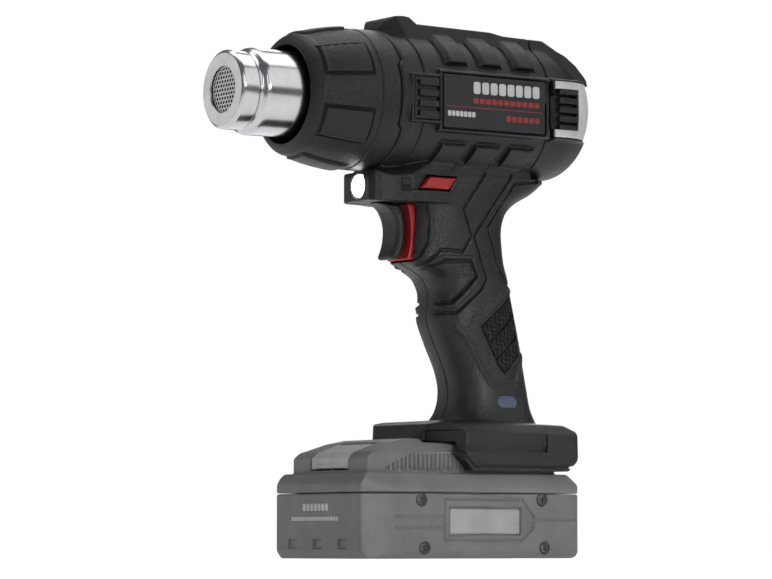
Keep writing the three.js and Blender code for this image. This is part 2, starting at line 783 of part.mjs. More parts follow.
function ledBoard() {
  const front = LED_FRONT_X + 5.2;
  return midBox(front, front + 1.4, 8, LED_Z - 3.8, LED_Z + 3.6);
}

// Sliding trigger ----------------------------------------------------------------------------

const PAD_LOW_Z = 134.9;
const PAD_TOP_Z = 160.4;
const PAD_BACK = [[-2.2, PAD_LOW_Z], [-0.2, 140], [0.6, 148], [-0.2, 155], [-2, PAD_TOP_Z]];
const PAD_HALF = 7.8;
const TRIGGER_HALF = 8.4;

function triggerPad() {
  const front = [
    [-17.4, PAD_TOP_Z], [-12.4, 158.4], [-9.2, 154.6], [-7.6, 150], [-7.2, 145], [-7.9, 140.4],
    [-10, 136.4], [-9, PAD_LOW_Z],
  ];
  const plan = mirrored([
    [-18, 0], [-18, 3.4], [-13, 6.2], [-7, PAD_HALF], [4, PAD_HALF], [4, 0],
  ]);
  return plateY([...PAD_BACK, ...front], -PAD_HALF, PAD_HALF)
    .intersect(plateZ(plan, PAD_LOW_Z - 5, PAD_TOP_Z + 5));
}

function triggerFrame() {
  const front = PAD_BACK.map(([x, z]) => [x + GAP, z]);
  const outline = [...front, [FRAME_BACK_X, PAD_TOP_Z], [FRAME_BACK_X, PAD_LOW_Z]];
  return plateY(outline, -TRIGGER_HALF, TRIGGER_HALF);
}

class SpringPath extends THREE.Curve {
  getPoint(t, target = new THREE.Vector3()) {
    const turns = 6;
    const radius = 4.2;
    const angle = 2 * Math.PI * turns * t;
    const [x0, x1] = [FRAME_BACK_X + 1, SWITCH_X - 0.4];
    const z = TRIGGER_Z + radius * Math.sin(angle);
    return target.set(x0 + (x1 - x0) * t, radius * Math.cos(angle), z);
  }
}

function triggerSpring() {
  const section = outlineShape(circleOutline(0.45, 4));
  const options = { steps: 48, extrudePath: new SpringPath(), bevelEnabled: false };
  return solid(new THREE.ExtrudeGeometry(section, options));
}

// Cross-bolt lock: a slanted block pushed through from side to side.
function lockOutline(grow) {
  return [
    [-0.4 - grow, 166.4 - grow], [4.6 - grow, 172 + grow], [19.4 + grow, 172 + grow],
    [15.2 + grow, 166.4 - grow],
  ];
}

function lockButton() {
  const proud = 0.8;
  return plateY(lockOutline(0), -NECK_HALF - proud, NECK_HALF + 2 * proud + 0.2 - LOCK_TRAVEL);
}

// Foot contacts ------------------------------------------------------------------------------

const CONTACT_Y = [-9, 9];

function terminalBlock() {
  const bar = midBox(44, 67.2, 11, 53, 57.4);
  const backPlate = midBox(66.9, 70.6, 13, 44.2, 57.4);
  return join(bar, backPlate);
}

function terminalBlade(y) {
  return box(50, 66.1, y - 0.4, y + 0.4, 41.6, 47.3);
}

// Battery pack -------------------------------------------------------------------------------

const LATCH_HALF = 14.7;
const LATCH_PIVOT = { x: -30, z: 33 };
const LATCH_PIN_R = 1.8;

const PACK_PLAN = mirrored([
  [PACK_X[0], 0], [PACK_X[0], 34], [PACK_X[0] + 13, PACK_HALF], [PACK_X[1] - 2.5, PACK_HALF],
  [PACK_X[1], 35], [PACK_X[1], 0],
]);

function packTray() {
  const side = [
    [PACK_X[0], 3], [PACK_X[0] + 3, 0], [PACK_X[1] - 3, 0], [PACK_X[1], 3],
    [PACK_X[1], TRAY_TOP_Z], [PACK_X[0], TRAY_TOP_Z],
  ];
  const front = [
    [-PACK_HALF + 2, 0], [PACK_HALF - 2, 0], [PACK_HALF, 2], [PACK_HALF, TRAY_TOP_Z],
    [-PACK_HALF, TRAY_TOP_Z], [-PACK_HALF, 2],
  ];
  const outer = plateZ(PACK_PLAN, 0, TRAY_TOP_Z)
    .intersect(plateY(side, -50, 50))
    .intersect(plateX(front, -60, 90));
  const hollow = box(PACK_X[0] + 6, PACK_X[1] - 4, -34.5, 34.5, 2.4, 40);
  return cut(outer, hollow);
}

const HUMP_X = -37.2;
const HUMP_SLOPE = [[HUMP_X, 44.8], [-34.2, 47.4], [-22, 51.6], [-13, HUMP_TOP_Z]];

function packHump() {
  const plan = mirrored([
    [HUMP_X, 0], [HUMP_X, 28.8], [-36, 30], [64.4, 30], [66, 28], [66, 0],
  ]);
  const side = [
    [HUMP_X, 30], ...HUMP_SLOPE, [-5.2, HUMP_TOP_Z], [-5.2, SLIDE_TOP_Z], [66, SLIDE_TOP_Z],
    [66, 30],
  ];
  const front = [
    [-30, 30], [30, 30], [30, 47], [25, HUMP_TOP_Z + 0.1], [-25, HUMP_TOP_Z + 0.1], [-30, 47],
  ];
  return plateZ(plan, 30, 56)
    .intersect(plateY(side, -40, 40))
    .intersect(plateX(front, -50, 80));
}

function packLid() {
  const shoulder = [
    [-PACK_HALF, TRAY_TOP_Z + GAP], [PACK_HALF, TRAY_TOP_Z + GAP], [PACK_HALF, 31],
    [PACK_HALF - 4, DECK_Z], [-PACK_HALF + 4, DECK_Z], [-PACK_HALF, 31],
  ];
  const ends = [
    [PACK_X[0], TRAY_TOP_Z + GAP], [PACK_X[1], TRAY_TOP_Z + GAP], [PACK_X[1], 32],
    [PACK_X[1] - 5, DECK_Z], [PACK_X[0] + 4, DECK_Z], [PACK_X[0], 33],
  ];
  const base = plateZ(PACK_PLAN, TRAY_TOP_Z, 40)
    .intersect(plateX(shoulder, -60, 90))
    .intersect(plateY(ends, -50, 50));
  const hollowLow = box(PACK_X[0] + 4, PACK_X[1] - 4, -33, 33, 20, 35.2);
  const hollowHump = plateY([
    [-33.6, 34], [-33.6, 44.4], [-20, 49.4], [46, 49.4], [46, 34],
  ], -26, 26);
  const button = plateY([
    [-45, 39.4], [-31.6, 39.4], [-31.6, 44], [-20.2, 48.8], [-20.2, 60], [-45, 60],
  ], -LATCH_HALF - GAP, LATCH_HALF + GAP);
  const catchHole = midBox(-4.2, 5.2, 8.3, 46, 60);
  const groove = join(box(19.4, 80, 26.4, 40, 41.6, 45), box(19.4, 80, -40, -26.4, 41.6, 45));
  const slots = CONTACT_Y.map((y) => box(49.4, 80, y - 2.6, y + 2.6, 39.6, 60));
  const shell = cut(join(base, packHump()), hollowLow, hollowHump, button, catchHole);
  return cut(join(shell, latchBearings()), groove, ...slots);
}

// Two lugs under the lid that hold the pivot pin of the release lever.
function latchBearings() {
  const { x, z } = LATCH_PIVOT;
  const lug = box(x - 6, x + 3.4, 11.5, 14.5, z - 3.4, z + 4.6);
  const bore = rodY(LATCH_PIN_R + GAP, -20, 20, x, z, 24);
  return cut(join(lug, mirrorY(lug)), bore);
}

const CELL_R = 9.2;
const CELL_HALF = 32.5;
const CELL_Z = 12.4;

function packCell(i) {
  const pitch = 19.4;
  const middle = (PACK_X[0] + PACK_X[1]) / 2;
  return rodY(CELL_R, -CELL_HALF, CELL_HALF, middle + (i - 2) * pitch, CELL_Z, 16);
}

function cellStrap() {
  const skin = 0.6;
  return box(-32, 62, -CELL_HALF - 2 * skin, -CELL_HALF - skin, CELL_Z - 4, CELL_Z + 4);
}

function packBoard() {
  return midBox(-26, 58, 24, 24.2, 25.8);
}

// Spring contact in the pack, folded round a foot blade.
function packContact(y) {
  const clip = box(51, 60, y - 1.7, y + 1.7, 40.2, 48.4);
  return cut(clip, box(50, 61, y - 0.8, y + 0.8, 41.2, 50));
}

// Release lever: a push plate that follows the front of the lid, two legs down to a pivot
// pin, and a catch that drops when the plate is pushed.
function packLatch() {
  const { x, z } = LATCH_PIVOT;
  const plate = plateY([
    [HUMP_X, 39.9], [HUMP_X, 44.8], [-34.2, 47.4], [-23.6, 51], [-22.9, 49.4], [-33, 45.6],
    [-34.6, 43.8], [-34.6, 39.9],
  ], -LATCH_HALF, LATCH_HALF);
  const arm = midBox(-35, 2.6, 7.6, 45.4, 47.6);
  const catchBlock = midBox(-3.4, 2.6, 7.6, 47, 51.4);
  const leg = box(x - 2, x + 2, 5, 7.6, z, 46);
  const pin = rodY(LATCH_PIN_R, -14, 14, x, z, 24);
  return join(plate, arm, catchBlock, leg, mirrorY(leg), pin);
}

// Assembly -----------------------------------------------------------------------------------

function addHotEnd() {
  addPiece('nozzle_tube', nozzleTube(), 'chrome');
  addPiece('outlet_screen', outletScreen(), 'steel');
  addPiece('mica_sleeve', micaSleeve(), 'mica');
  addPiece('heater_former', heaterFormer(), 'mica');
  addPiece('heating_coil', heatingCoil(), 'wire');
  addPiece('thermal_cutout', thermalCutout(), 'steel');
  addPiece('air_duct', airDuct(), 'softBlack');
  addPiece('nose_cone', noseCone(), 'softBlack');
}

function addFan() {
  addPiece('motor_can', motorCan(), 'steel');
  addPiece('motor_mount', motorMount(), 'shell');
  addPiece('fan_shaft', fanShaft(), 'steel');
  addPiece('fan_impeller', fanImpeller(), 'softBlack');
}

function addHousing() {
  addPiece('housing_left', housingHalf(-1), 'shell');
  addPiece('housing_right', housingHalf(1), 'shell');
  addPiece('label_left', labelPlate(0), 'label');
  addPiece('label_right', mirrorY(labelPlate(0)), 'label');
  addPiece('front_vent_left', frontVent(0), 'shell');
  addPiece('front_vent_right', mirrorY(frontVent(0)), 'shell');
  addPiece('grip_left', gripPad(0), 'softBlack');
  addPiece('grip_right', mirrorY(gripPad(0)), 'softBlack');
  SCREW_PLACES.forEach((place, i) => {
    addPiece(`housing_screw_${i + 1}`, screw(place), 'steel');
  });
}

function addRear() {
  addPiece('rear_cap', rearCap(), 'shell');
  addPiece('rear_trim', rearTrim(0), 'silver');
  addPiece('display_window', displayWindow(), 'glass');
  addPiece('display_board', displayBoard(), 'board');
  Object.entries(KEY_Y).forEach(([name, y]) => addPiece(name, key(y), 'softBlack'));
}

function addControls() {
  addPiece('main_board', mainBoard(), 'board');
  addPiece('switch_module', switchModule(), 'softBlack');
  addPiece('led_lens', ledLens(), 'lamp');
  addPiece('led_board', ledBoard(), 'board');
  addPiece('trigger_pad', triggerPad(), 'softBlack');
  addPiece('trigger_frame', triggerFrame(), 'red');
  addPiece('trigger_spring', triggerSpring(), 'steel');
  addPiece('lock_button', lockButton(), 'red');
  addPiece('terminal_block', terminalBlock(), 'softBlack');
  addPiece('terminal_blade_plus', terminalBlade(CONTACT_Y[0]), 'brass');
  addPiece('terminal_blade_minus', terminalBlade(CONTACT_Y[1]), 'brass');
}

function addPack() {
  addPiece('battery_tray', packTray(), 'pack');
  addPiece('battery_lid', packLid(), 'pack');
  addPiece('battery_latch', packLatch(), 'packLight');
  addPiece('battery_board', packBoard(), 'board');
  addPiece('cell_strap_left', cellStrap(), 'steel');
  addPiece('cell_strap_right', mirrorY(cellStrap()), 'steel');
  addPiece('pack_contact_plus', packContact(CONTACT_Y[0]), 'brass');
  addPiece('pack_contact_minus', packContact(CONTACT_Y[1]), 'brass');
  for (let i = 0; i < 5; i += 1) {
    addPiece(`battery_cell_${i + 1}`, packCell(i), 'cell');
  }
}

addHotEnd();
addFan();
addHousing();
addRear();
addControls();
addPack();

export default tool;
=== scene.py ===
"""Looks of a cordless heat gun that stands on its battery pack.

Shapes are fields: functions of x, y and z in millimetres that are negative inside the piece.
A field is meshed on a fine grid, and its slope gives the smooth shading.
"""

import json
import math
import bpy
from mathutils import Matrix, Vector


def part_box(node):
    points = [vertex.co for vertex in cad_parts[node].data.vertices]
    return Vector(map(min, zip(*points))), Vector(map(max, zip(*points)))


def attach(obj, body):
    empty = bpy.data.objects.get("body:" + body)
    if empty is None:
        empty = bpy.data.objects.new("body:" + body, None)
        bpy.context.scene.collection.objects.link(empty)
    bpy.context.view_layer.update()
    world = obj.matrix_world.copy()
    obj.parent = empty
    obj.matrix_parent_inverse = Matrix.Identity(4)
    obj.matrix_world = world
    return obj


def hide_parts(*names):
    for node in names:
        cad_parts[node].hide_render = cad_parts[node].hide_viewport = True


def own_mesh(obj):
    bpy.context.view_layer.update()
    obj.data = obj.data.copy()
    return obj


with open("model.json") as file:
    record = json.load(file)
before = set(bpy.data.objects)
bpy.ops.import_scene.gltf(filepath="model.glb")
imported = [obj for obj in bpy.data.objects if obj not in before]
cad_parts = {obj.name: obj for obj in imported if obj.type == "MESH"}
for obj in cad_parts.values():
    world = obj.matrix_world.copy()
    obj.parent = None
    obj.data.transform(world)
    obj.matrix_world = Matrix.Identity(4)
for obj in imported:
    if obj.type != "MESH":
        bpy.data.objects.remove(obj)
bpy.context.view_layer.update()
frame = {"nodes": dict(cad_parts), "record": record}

from concurrent.futures import ThreadPoolExecutor

import bpy
import numpy as np
from mathutils import Vector

MM = 0.001
STEP = 0.6           # grid of the moulded pieces
FINE = 0.35          # grid of small pieces
GAP = 0.3            # clearance between neighbouring pieces


def ends(node):
    low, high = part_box(node)
    return np.array(low) / MM, np.array(high) / MM


# Driving sizes, from the frame ---------------------------------------------------------------

tube_low, tube_high = ends("nozzle_tube")
cone_low, cone_high = ends("nose_cone")
house_low = ends("housing_left")[0]
cap_low, cap_high = ends("rear_cap")
label_low, label_high = ends("label_left")
vent_low, vent_high = ends("front_vent_left")
trim_low, trim_high = ends("rear_trim")
tray_low, tray_high = ends("battery_tray")
lid_low, lid_high = ends("battery_lid")
latch_high = ends("battery_latch")[1]
lamp_low, lamp_high = ends("led_lens")
pad_low, pad_high = ends("trigger_pad")
slide_low, slide_high = ends("trigger_frame")
lock_low, lock_high = ends("lock_button")

AXIS_Z = (tube_low[2] + tube_high[2]) / 2
TUBE_R = (tube_high[2] - tube_low[2]) / 2
NOZZLE_R = TUBE_R - 1.8
NOZZLE_X = tube_low[0]
OUTLET_R = 10.3
CONE_LIP_X = cone_low[0]
CONE_SEAM_X = cone_high[0] + GAP
CAP_SEAM_X = cap_low[0] - GAP
CAP_BACK_X = cap_high[0]
CAP_CORNER_R = 19
BAND_HALF = cap_high[1]
BARREL_R = BAND_HALF - 1.1
WALL = 2.6
FOOT_HALF = -house_low[1]
FOOT_LOW_Z = house_low[2]
NECK_TOP_Z = 174.1
NECK_HALF = 18.8
NECK_LOW_Z = pad_high[2] + 0.3
BAND_Z = (label_low[2] - 1.6, label_high[2] + 2)
LED_X = house_low[0]
LED_Z = (lamp_low[2] + lamp_high[2]) / 2
LED_R = (lamp_high[2] - lamp_low[2]) / 2
TRAY_TOP_Z = tray_high[2]
DECK_Z = 38
EDGE = 0.9           # softness of moulded edges
BEVEL = 0.7          # keeps distances true across a 45 degree bevel
FAR = 6              # stands for a field well outside its part
TRIGGER_Z = 148      # height of the trigger's middle
FOOT_BACK_X = 76
SIDES = (("left", -1), ("right", 1))


# Field helpers -------------------------------------------------------------------------------

def smooth_max(a, b, soft=EDGE):
    near = np.clip(1 - np.abs(a - b) / soft, 0, 1)
    return np.maximum(a, b) + near * near * (soft / 4)


def smooth_min(a, b, soft=EDGE):
    return -smooth_max(-a, -b, soft)


def all_of(*fields, soft=EDGE):
    """Where every field is inside."""
    result = fields[0]
    for field in fields[1:]:
        result = smooth_max(result, field, soft)
    return result


def any_of(*fields, soft=EDGE):
    result = fields[0]
    for field in fields[1:]:
        result = smooth_min(result, field, soft)
    return result


def less(field, *others, soft=EDGE):
    """The first field with the others cut away."""
    for other in others:
        field = smooth_max(field, -other, soft)
    return field


def slab(value, low, high):
    return np.abs(value - (low + high) / 2) - (high - low) / 2


def block(x, y, z, low, high, soft=EDGE):
    return all_of(slab(x, low[0], high[0]), slab(y, low[1], high[1]), slab(z, low[2], high[2]),
                  soft=soft)


def ramp(u, v, start, end):
    """Distance to the left of the line from start to end: negative on its right."""
    along = np.array(end, float) - np.array(start, float)
    along /= np.hypot(*along)
    return along[0] * (v - start[1]) - along[1] * (u - start[0])


def convex(u, v, points, soft=EDGE):
    """A convex outline, its points given clockwise."""
    sides = [ramp(u, v, a, b) for a, b in zip(points, points[1:] + points[:1])]
    return all_of(*sides, soft=soft)


def path_gap(u, v, points):
    """Distance to an open line through the points."""
    nearest = np.full(np.shape(u), 1e9)
    for (ua, va), (ub, vb) in zip(points, points[1:]):
        du, dv = ub - ua, vb - va
        along = np.clip(((u - ua) * du + (v - va) * dv) / (du * du + dv * dv), 0, 1)
        nearest = np.minimum(nearest, (u - ua - along * du) ** 2 + (v - va - along * dv) ** 2)
    return np.sqrt(nearest)


def outline(u, v, points):
    """Distance to any closed outline."""
    closed = points + points[:1]
    inside = np.zeros(np.shape(u), bool)
    for (ua, va), (ub, vb) in zip(closed, closed[1:]):
        if va != vb:
            inside ^= ((v >= va) != (v >= vb)) & (u < ua + (v - va) * (ub - ua) / (vb - va))
    return np.where(inside, -1, 1) * path_gap(u, v, closed)


def step_up(value, low, high):
    """0 below low, 1 above high, smooth between."""
    t = np.clip((value - low) / (high - low), 0, 1)
    return t * t * (3 - 2 * t)


def dip(distance, width, depth):
    """How far a groove of this width lowers the surface at this distance from its line."""
    return depth * (1 - step_up(distance, width * 0.2, width * 0.6))


def only(mask, elsewhere, work, *values):
    """work(...) where the mask holds, and one value elsewhere."""
    result = np.full(mask.shape, float(elsewhere))
    if mask.any():
        result[mask] = work(*(value[mask] for value in values))
    return result


# Meshing -------------------------------------------------------------------------------------

def sample(field, points):
    """Field values at many points, in blocks shared between the cores."""
    blocks = np.array_split(points, len(points) // 40000 + 1)
    with ThreadPoolExecutor() as pool:
        parts = pool.map(lambda p: field(*np.ascontiguousarray(p.T)), blocks)
    return np.concatenate(list(parts))


def slope(field, points, reach):
    corners = np.array([[1, 1, 1], [1, -1, -1], [-1, 1, -1], [-1, -1, 1]], float)
    total = sum(sample(field, points + reach * c)[:, None] * c for c in corners)
    return total / (4 * reach)


def grid_values(field, low, step, counts):
    """Field values on a grid, worked out in full only near the surface."""
    coarse = 4
    blocks = -(-counts // coarse)
    centres = low + (np.indices(blocks).reshape(3, -1).T + 0.5) * coarse * step
    rough = sample(field, centres)
    steep = np.maximum(1, np.linalg.norm(slope(field, centres, step), axis=1))
    reach = (coarse * step * math.sqrt(3) / 2 + step) * 1.2
    near = (np.abs(rough) < reach * steep).reshape(blocks)
    values = rough.reshape(blocks)
    for axis in range(3):
        near = np.repeat(near, coarse, axis)
        values = np.repeat(values, coarse, axis)
    near = near[:counts[0], :counts[1], :counts[2]]
    values = values[:counts[0], :counts[1], :counts[2]].copy()
    near = near.copy()
    near[1:] |= near[:-1]
    near[:, 1:] |= near[:, :-1]
    near[:, :, 1:] |= near[:, :, :-1]
    where = np.argwhere(near)
    values[near] = sample(field, low + where * step)
    for axis in range(3):
        edge = np.moveaxis(values, axis, 0)
        edge[[0, -1]] = np.maximum(edge[[0, -1]], step)
    return values


def surface(values):
    """Cell vertices and faces of the surface in a grid of values, in grid units."""
    shape = np.array(values.shape)
    inside = values < 0
    cells, places, quads = [], [], []
    for axis in range(3):
        near, far = [slice(None)] * 3, [slice(None)] * 3
        near[axis], far[axis] = slice(None, -1), slice(1, None)
        near, far = tuple(near), tuple(far)
        edges = np.argwhere(inside[near] != inside[far])
        first = values[near][tuple(edges.T)]
        second = values[far][tuple(edges.T)]
        crossing = edges.astype(float)
        crossing[:, axis] += first / (first - second)
        b, c = (axis + 1) % 3, (axis + 2) % 3
        corners = []
        for back_b, back_c in ((0, 0), (1, 0), (1, 1), (0, 1)):
            cell = edges.copy()
            cell[:, b] -= back_b
            cell[:, c] -= back_c
            corners.append(np.ravel_multi_index(tuple(cell.T), shape))
        corners = np.stack(corners, 1)
        corners[first > 0] = corners[first > 0][:, ::-1]
        quads.append(corners)
        cells.append(corners.ravel())
        places.append(np.repeat(crossing, 4, axis=0))
    quads = np.concatenate(quads)
    names, index = np.unique(np.concatenate(cells), return_inverse=True)
    places = np.concatenate(places)
    counts = np.bincount(index)
    points = np.stack([np.bincount(index, places[:, k]) / counts for k in range(3)], 1)
    return points, np.searchsorted(names, quads)


def link_object(name, mesh):
    piece = bpy.data.objects.new(name, mesh)
    bpy.context.scene.collection.objects.link(piece)
    return piece


def flat_faced(name, points, faces):
    """A mesh object from lists, its points in millimetres."""
    mesh = bpy.data.meshes.new(name)
    mesh.from_pydata([tuple(np.array(point) * MM) for point in points], [], faces)
    return link_object(name, mesh)


def mesh_object(name, points, faces, normals=None):
    """A mesh object from arrays in metres."""
    mesh = bpy.data.meshes.new(name)
    mesh.vertices.add(len(points))
    mesh.vertices.foreach_set("co", points.astype(np.float32).ravel())
    size = faces.shape[1]
    mesh.loops.add(faces.size)
    mesh.loops.foreach_set("vertex_index", faces.astype(np.int32).ravel())
    mesh.polygons.add(len(faces))
    mesh.polygons.foreach_set("loop_start", np.arange(0, faces.size, size, dtype=np.int32))
    mesh.update(calc_edges=True)
    mesh.validate()
    mesh.shade_smooth()
    if normals is not None and len(mesh.vertices) == len(normals):
        mesh.normals_split_custom_set_from_vertices(normals.tolist())
    return link_object(name, mesh)


def field_mesh(name, field, low, high, step=STEP):
    """A smooth mesh of the field's surface inside the box given in millimetres."""
    low = np.array(low, float) - 2.3 * step
    counts = np.ceil((np.array(high, float) + 2.3 * step - low) / step).astype(int) + 1
    points, faces = surface(grid_values(field, low, step, counts))
    points = low + points * step
    for _ in range(2):
        tilt = slope(field, points, 0.25 * step)
        value = sample(field, points)
        move = value / np.maximum((tilt * tilt).sum(1), 0.2)
        move = np.clip(move, -0.6 * step, 0.6 * step)
        points -= move[:, None] * tilt
    normals = slope(field, points, 0.3 * step)
    normals /= np.maximum(np.linalg.norm(normals, axis=1), 1e-6)[:, None]
    return mesh_object(name, points * MM, faces, normals)


def one_side(name, field, sign, low, high, step):
    """A piece on one side of the tool, from a field of (x, distance from the middle, z)."""
    y0, y1 = sorted((sign * low[1], sign * high[1]))
    return field_mesh(name, lambda x, y, z: field(x, sign * y, z),
                      (low[0], y0, low[2]), (high[0], y1, high[2]), step)


def tube_faces(rings, sides, closed):
    """Quads between rings of points; closed also joins the last ring to the first."""
    spans = rings if closed else rings - 1
    ring, step = np.meshgrid(np.arange(spans), np.arange(sides), indexing="ij")
    here, after = ring * sides, (ring + 1) % rings * sides
    beside = (step + 1) % sides
    return np.stack([here + step, after + step, after + beside, here + beside],
                    -1).reshape(-1, 4)


# Housing shapes ------------------------------------------------------------------------------

# Stations of the neck and handle, from the foot up: z, front, rear, half width.
HANDLE = np.array([
    (58, 22.5, 70, 21.5), (62, 23.5, 69.6, 20.5), (67, 26, 68, 18.4), (77, 27.4, 66.2, 16.6),
    (84, 25.8, 65, 16.2), (97.7, 19.6, 62.4, 16.6), (107.6, 15.6, 60, 17), (124, 15, 56, 17.2),
    (128, 12, 55.3, 17.2), (131.3, 6, 54.6, 17.2), (133, 2.5, 54.2, 17.2), (141, 1.2, 52.8, 17.3),
    (154, 2, 52.9, 17.8), (158.5, 2, 55, 18.1), (162, 2, 58.8, 18.4),
    (168.2, 2, 70, NECK_HALF), (NECK_TOP_Z, 2, 76, NECK_HALF), (181, 2, 72, 18),
])


def smooth_rows(table, spacing=0.5):
    """The table's rows joined by smooth curves and read off at an even spacing."""
    key = table[:, 0]
    fine = np.arange(key[0], key[-1] + spacing, spacing)
    i = np.clip(np.searchsorted(key, fine, "right") - 1, 0, len(key) - 2)
    width = key[i + 1] - key[i]
    t = (fine - key[i]) / width
    rows = [fine]
    for column in table[:, 1:].T:
        tangent = np.gradient(column, key)
        a, b = column[i], column[i + 1]
        ta, tb = tangent[i] * width, tangent[i + 1] * width
        rows.append((2 * t**3 - 3 * t**2 + 1) * a + (t**3 - 2 * t**2 + t) * ta
                    + (3 * t**2 - 2 * t**3) * b + (t**3 - t**2) * tb)
    return rows


HANDLE_ROWS = smooth_rows(HANDLE)


def handle(x, y, z, inset=0):
    """The handle's column of rounded sections."""
    front, rear, half = (np.interp(z, HANDLE_ROWS[0], row) for row in HANDLE_ROWS[1:])
    reach, half = (rear - front) / 2 - inset, half - inset
    u = np.abs(x - (front + rear) / 2) / reach + 1e-3
    v = np.abs(y) / half + 1e-3
    size = np.cbrt(u**3 + v**3)
    steep = np.hypot(u * u / reach, v * v / half) / size**2
    return smooth_max((size - 1) / steep, slab(z, HANDLE[0, 0], HANDLE[-1, 0]))


def seam_x(z):
    """The joint between nose cone and housing steps forward beside the grilles."""
    return CONE_SEAM_X - 2 * (1 - step_up(np.abs(z - AXIS_Z), 13, 16))


PAD_START = 6.3
PAD_PITCH = 18.95
PAD_LENGTH = 11.6
PAD_LIFT = 2.2
PAD_SLANT = 0.16


def sector(side, up, low, high):
    """Between two angles, in degrees above level, seen from the front."""
    a, b = math.radians(low), math.radians(high)
    below = math.sin(a) * side - math.cos(a) * up
    above = math.cos(b) * up - math.sin(b) * side
    return np.maximum(below, above)


def pad_plan(x, side, up):
    """Distance to the plan of three pads above the side band and three below it."""
    number = np.clip(np.round((x - PAD_START - PAD_LENGTH / 2) / PAD_PITCH), 0, 2)
    along = x - PAD_START - number * PAD_PITCH
    upper = np.maximum(slab(along, 0, PAD_LENGTH), sector(side, up, 30, 66))
    slant = along - PAD_SLANT * (up + 22)
    lower = np.maximum(slab(slant, 0, PAD_LENGTH + 1), sector(side, up, -66, -37))
    return along, upper, lower


def tread_pads(x, side, up, radius):
    along, upper, lower = pad_plan(x, side, up)
    top = radius - BARREL_R - PAD_LIFT
    front = (radius - BARREL_R - along) * 0.71
    upper = all_of(top, upper, front, soft=0.45)
    top_edge = (radius - BARREL_R + 1.2 * (up + 19.5)) * 0.64
    lower = all_of(top, lower, top_edge, soft=0.45)
    return np.minimum(upper, lower)


SPINE_START = -15
SPINE_SIDE = ([SPINE_START, -12.5, -9.5, -5, -2.5, 1, 42, 49, 71, 78.6, 83, 88, CAP_BACK_X],
              [239.5, 242.8, 244.6, 244.9, 244.6, 241.5, 240.8, 239.5, 239, 234.5, 232.5, 228.3, 221])


def spine(x, side, z, base=AXIS_Z + 18):
    """The chamfered ridge along the top, down to the base."""
    top = (z - np.interp(x, *SPINE_SIDE)) * 0.9
    flank = np.maximum(ramp(side, z, (12, 246), (15, 238)), ramp(side, z, (15, 238), (18, 228)))
    nose = ramp(x, side, (SPINE_START, 6), (SPINE_START + 8, 15.5))
    return all_of(top, flank, nose, SPINE_START - x, base - z, soft=0.7)


def band_bevels(side, z):
    """Upper and lower bevel of the flat side bands."""
    low, high = BAND_Z
    bevel = 1.6
    return ((z - high + side - BAND_HALF + bevel) * BEVEL,
            (low - z + side - BAND_HALF + bevel) * BEVEL)


def side_band(x, side, z, x0, x1):
    return all_of(slab(x, x0, x1), slab(z, *BAND_Z), side - BAND_HALF, *band_bevels(side, z))


def label_pocket(x, side, z):
    grow = 0.35
    return all_of(slab(x, label_low[0] - grow, label_high[0] + grow),
                  slab(z, label_low[2] - grow, label_high[2] + grow), BAND_HALF - 1.7 - side,
                  soft=0.3)


def vent_frame(x, side, z):
    rim = 1.6
    return block(x, side, z, (vent_low[0] - rim, 0, vent_low[2] - rim),
                 (label_low[0], BAND_HALF - 0.4, vent_high[2] + rim))


def vent_pocket(x, side, z):
    return all_of(slab(x, vent_low[0] - GAP, vent_high[0] + GAP), BAND_HALF - 3.7 - side,
                  slab(z, vent_low[2] - GAP, vent_high[2] + GAP), soft=0.3)


def barrel(x, side, z):
    """Barrel with ridge, pads, bands and grille frames."""
    up = z - AXIS_Z
    radius = np.hypot(side, up)
    seam = seam_x(z)
    upper, lower = pad_plan(x, side, up)[1:]
    skin = radius - BARREL_R + dip(np.abs(x + 6.5), 1.3, 0.9)
    skin = skin + dip(np.abs(upper - 0.4), 1.6, 0.9) + dip(np.abs(lower - 0.4), 1.2, 0.5)
    front_bevel = (skin - (x - seam) + 0.8) * BEVEL
    tube = all_of(skin, slab(x, seam, CAP_SEAM_X), front_bevel)
    ridge = all_of(spine(x, side, z), slab(x, seam, CAP_SEAM_X))
    band = side_band(x, side, z, label_low[0] - 1.2, CAP_SEAM_X)
    slot = all_of(slab(x + 0.13 * (z - 204), label_high[0] + 1, CAP_SEAM_X + 3),
                  slab(z, BAND_Z[0] + 1, BAND_Z[1] - 2), BAND_HALF - 2.2 - side, soft=0.3)
    body = any_of(tube, ridge, band, vent_frame(x, side, z), tread_pads(x, side, up, radius),
                  soft=0.5)
    return less(body, slot, soft=0.4)


LAMP_PLAN = [(LED_X, 9.5), (LED_X + 1.4, 12.6), (LED_X + 4.5, 14), (-12, 15), (-4, NECK_HALF),
             (15, NECK_HALF), (36, 15), (36, -1), (LED_X, -1)]


def lamp_box(x, side, z):
    """The blunt box under the cone that carries the work lamp."""
    plan = outline(x, side, LAMP_PLAN)
    top = NECK_TOP_Z + 6
    shape = all_of(plan, slab(z, NECK_LOW_Z - GAP, top),
                   ramp(x, z, (LED_X, 171.5), (LED_X + 5, 180)),
                   (side + 1.1 * (z - 172) - 15 - 0.6 * np.maximum(x + 12, 0)) * 0.67)
    return smooth_max(shape, np.where(z > NECK_TOP_Z, CONE_SEAM_X - x, -9))


FOOT_SIDE = [(-4.6, 52.2), (1.4, 60.2), (8, 62), (30, 62), (70, 60.4), (74.4, 57.6), (FOOT_BACK_X, 45.6),
             (69, FOOT_LOW_Z), (15.4, FOOT_LOW_Z), (3, 52.2)]
FOOT_RIM = [(-6, 54), (3.8, 54), (16.2, FOOT_LOW_Z + 1.9), (80, FOOT_LOW_Z + 1.9)]


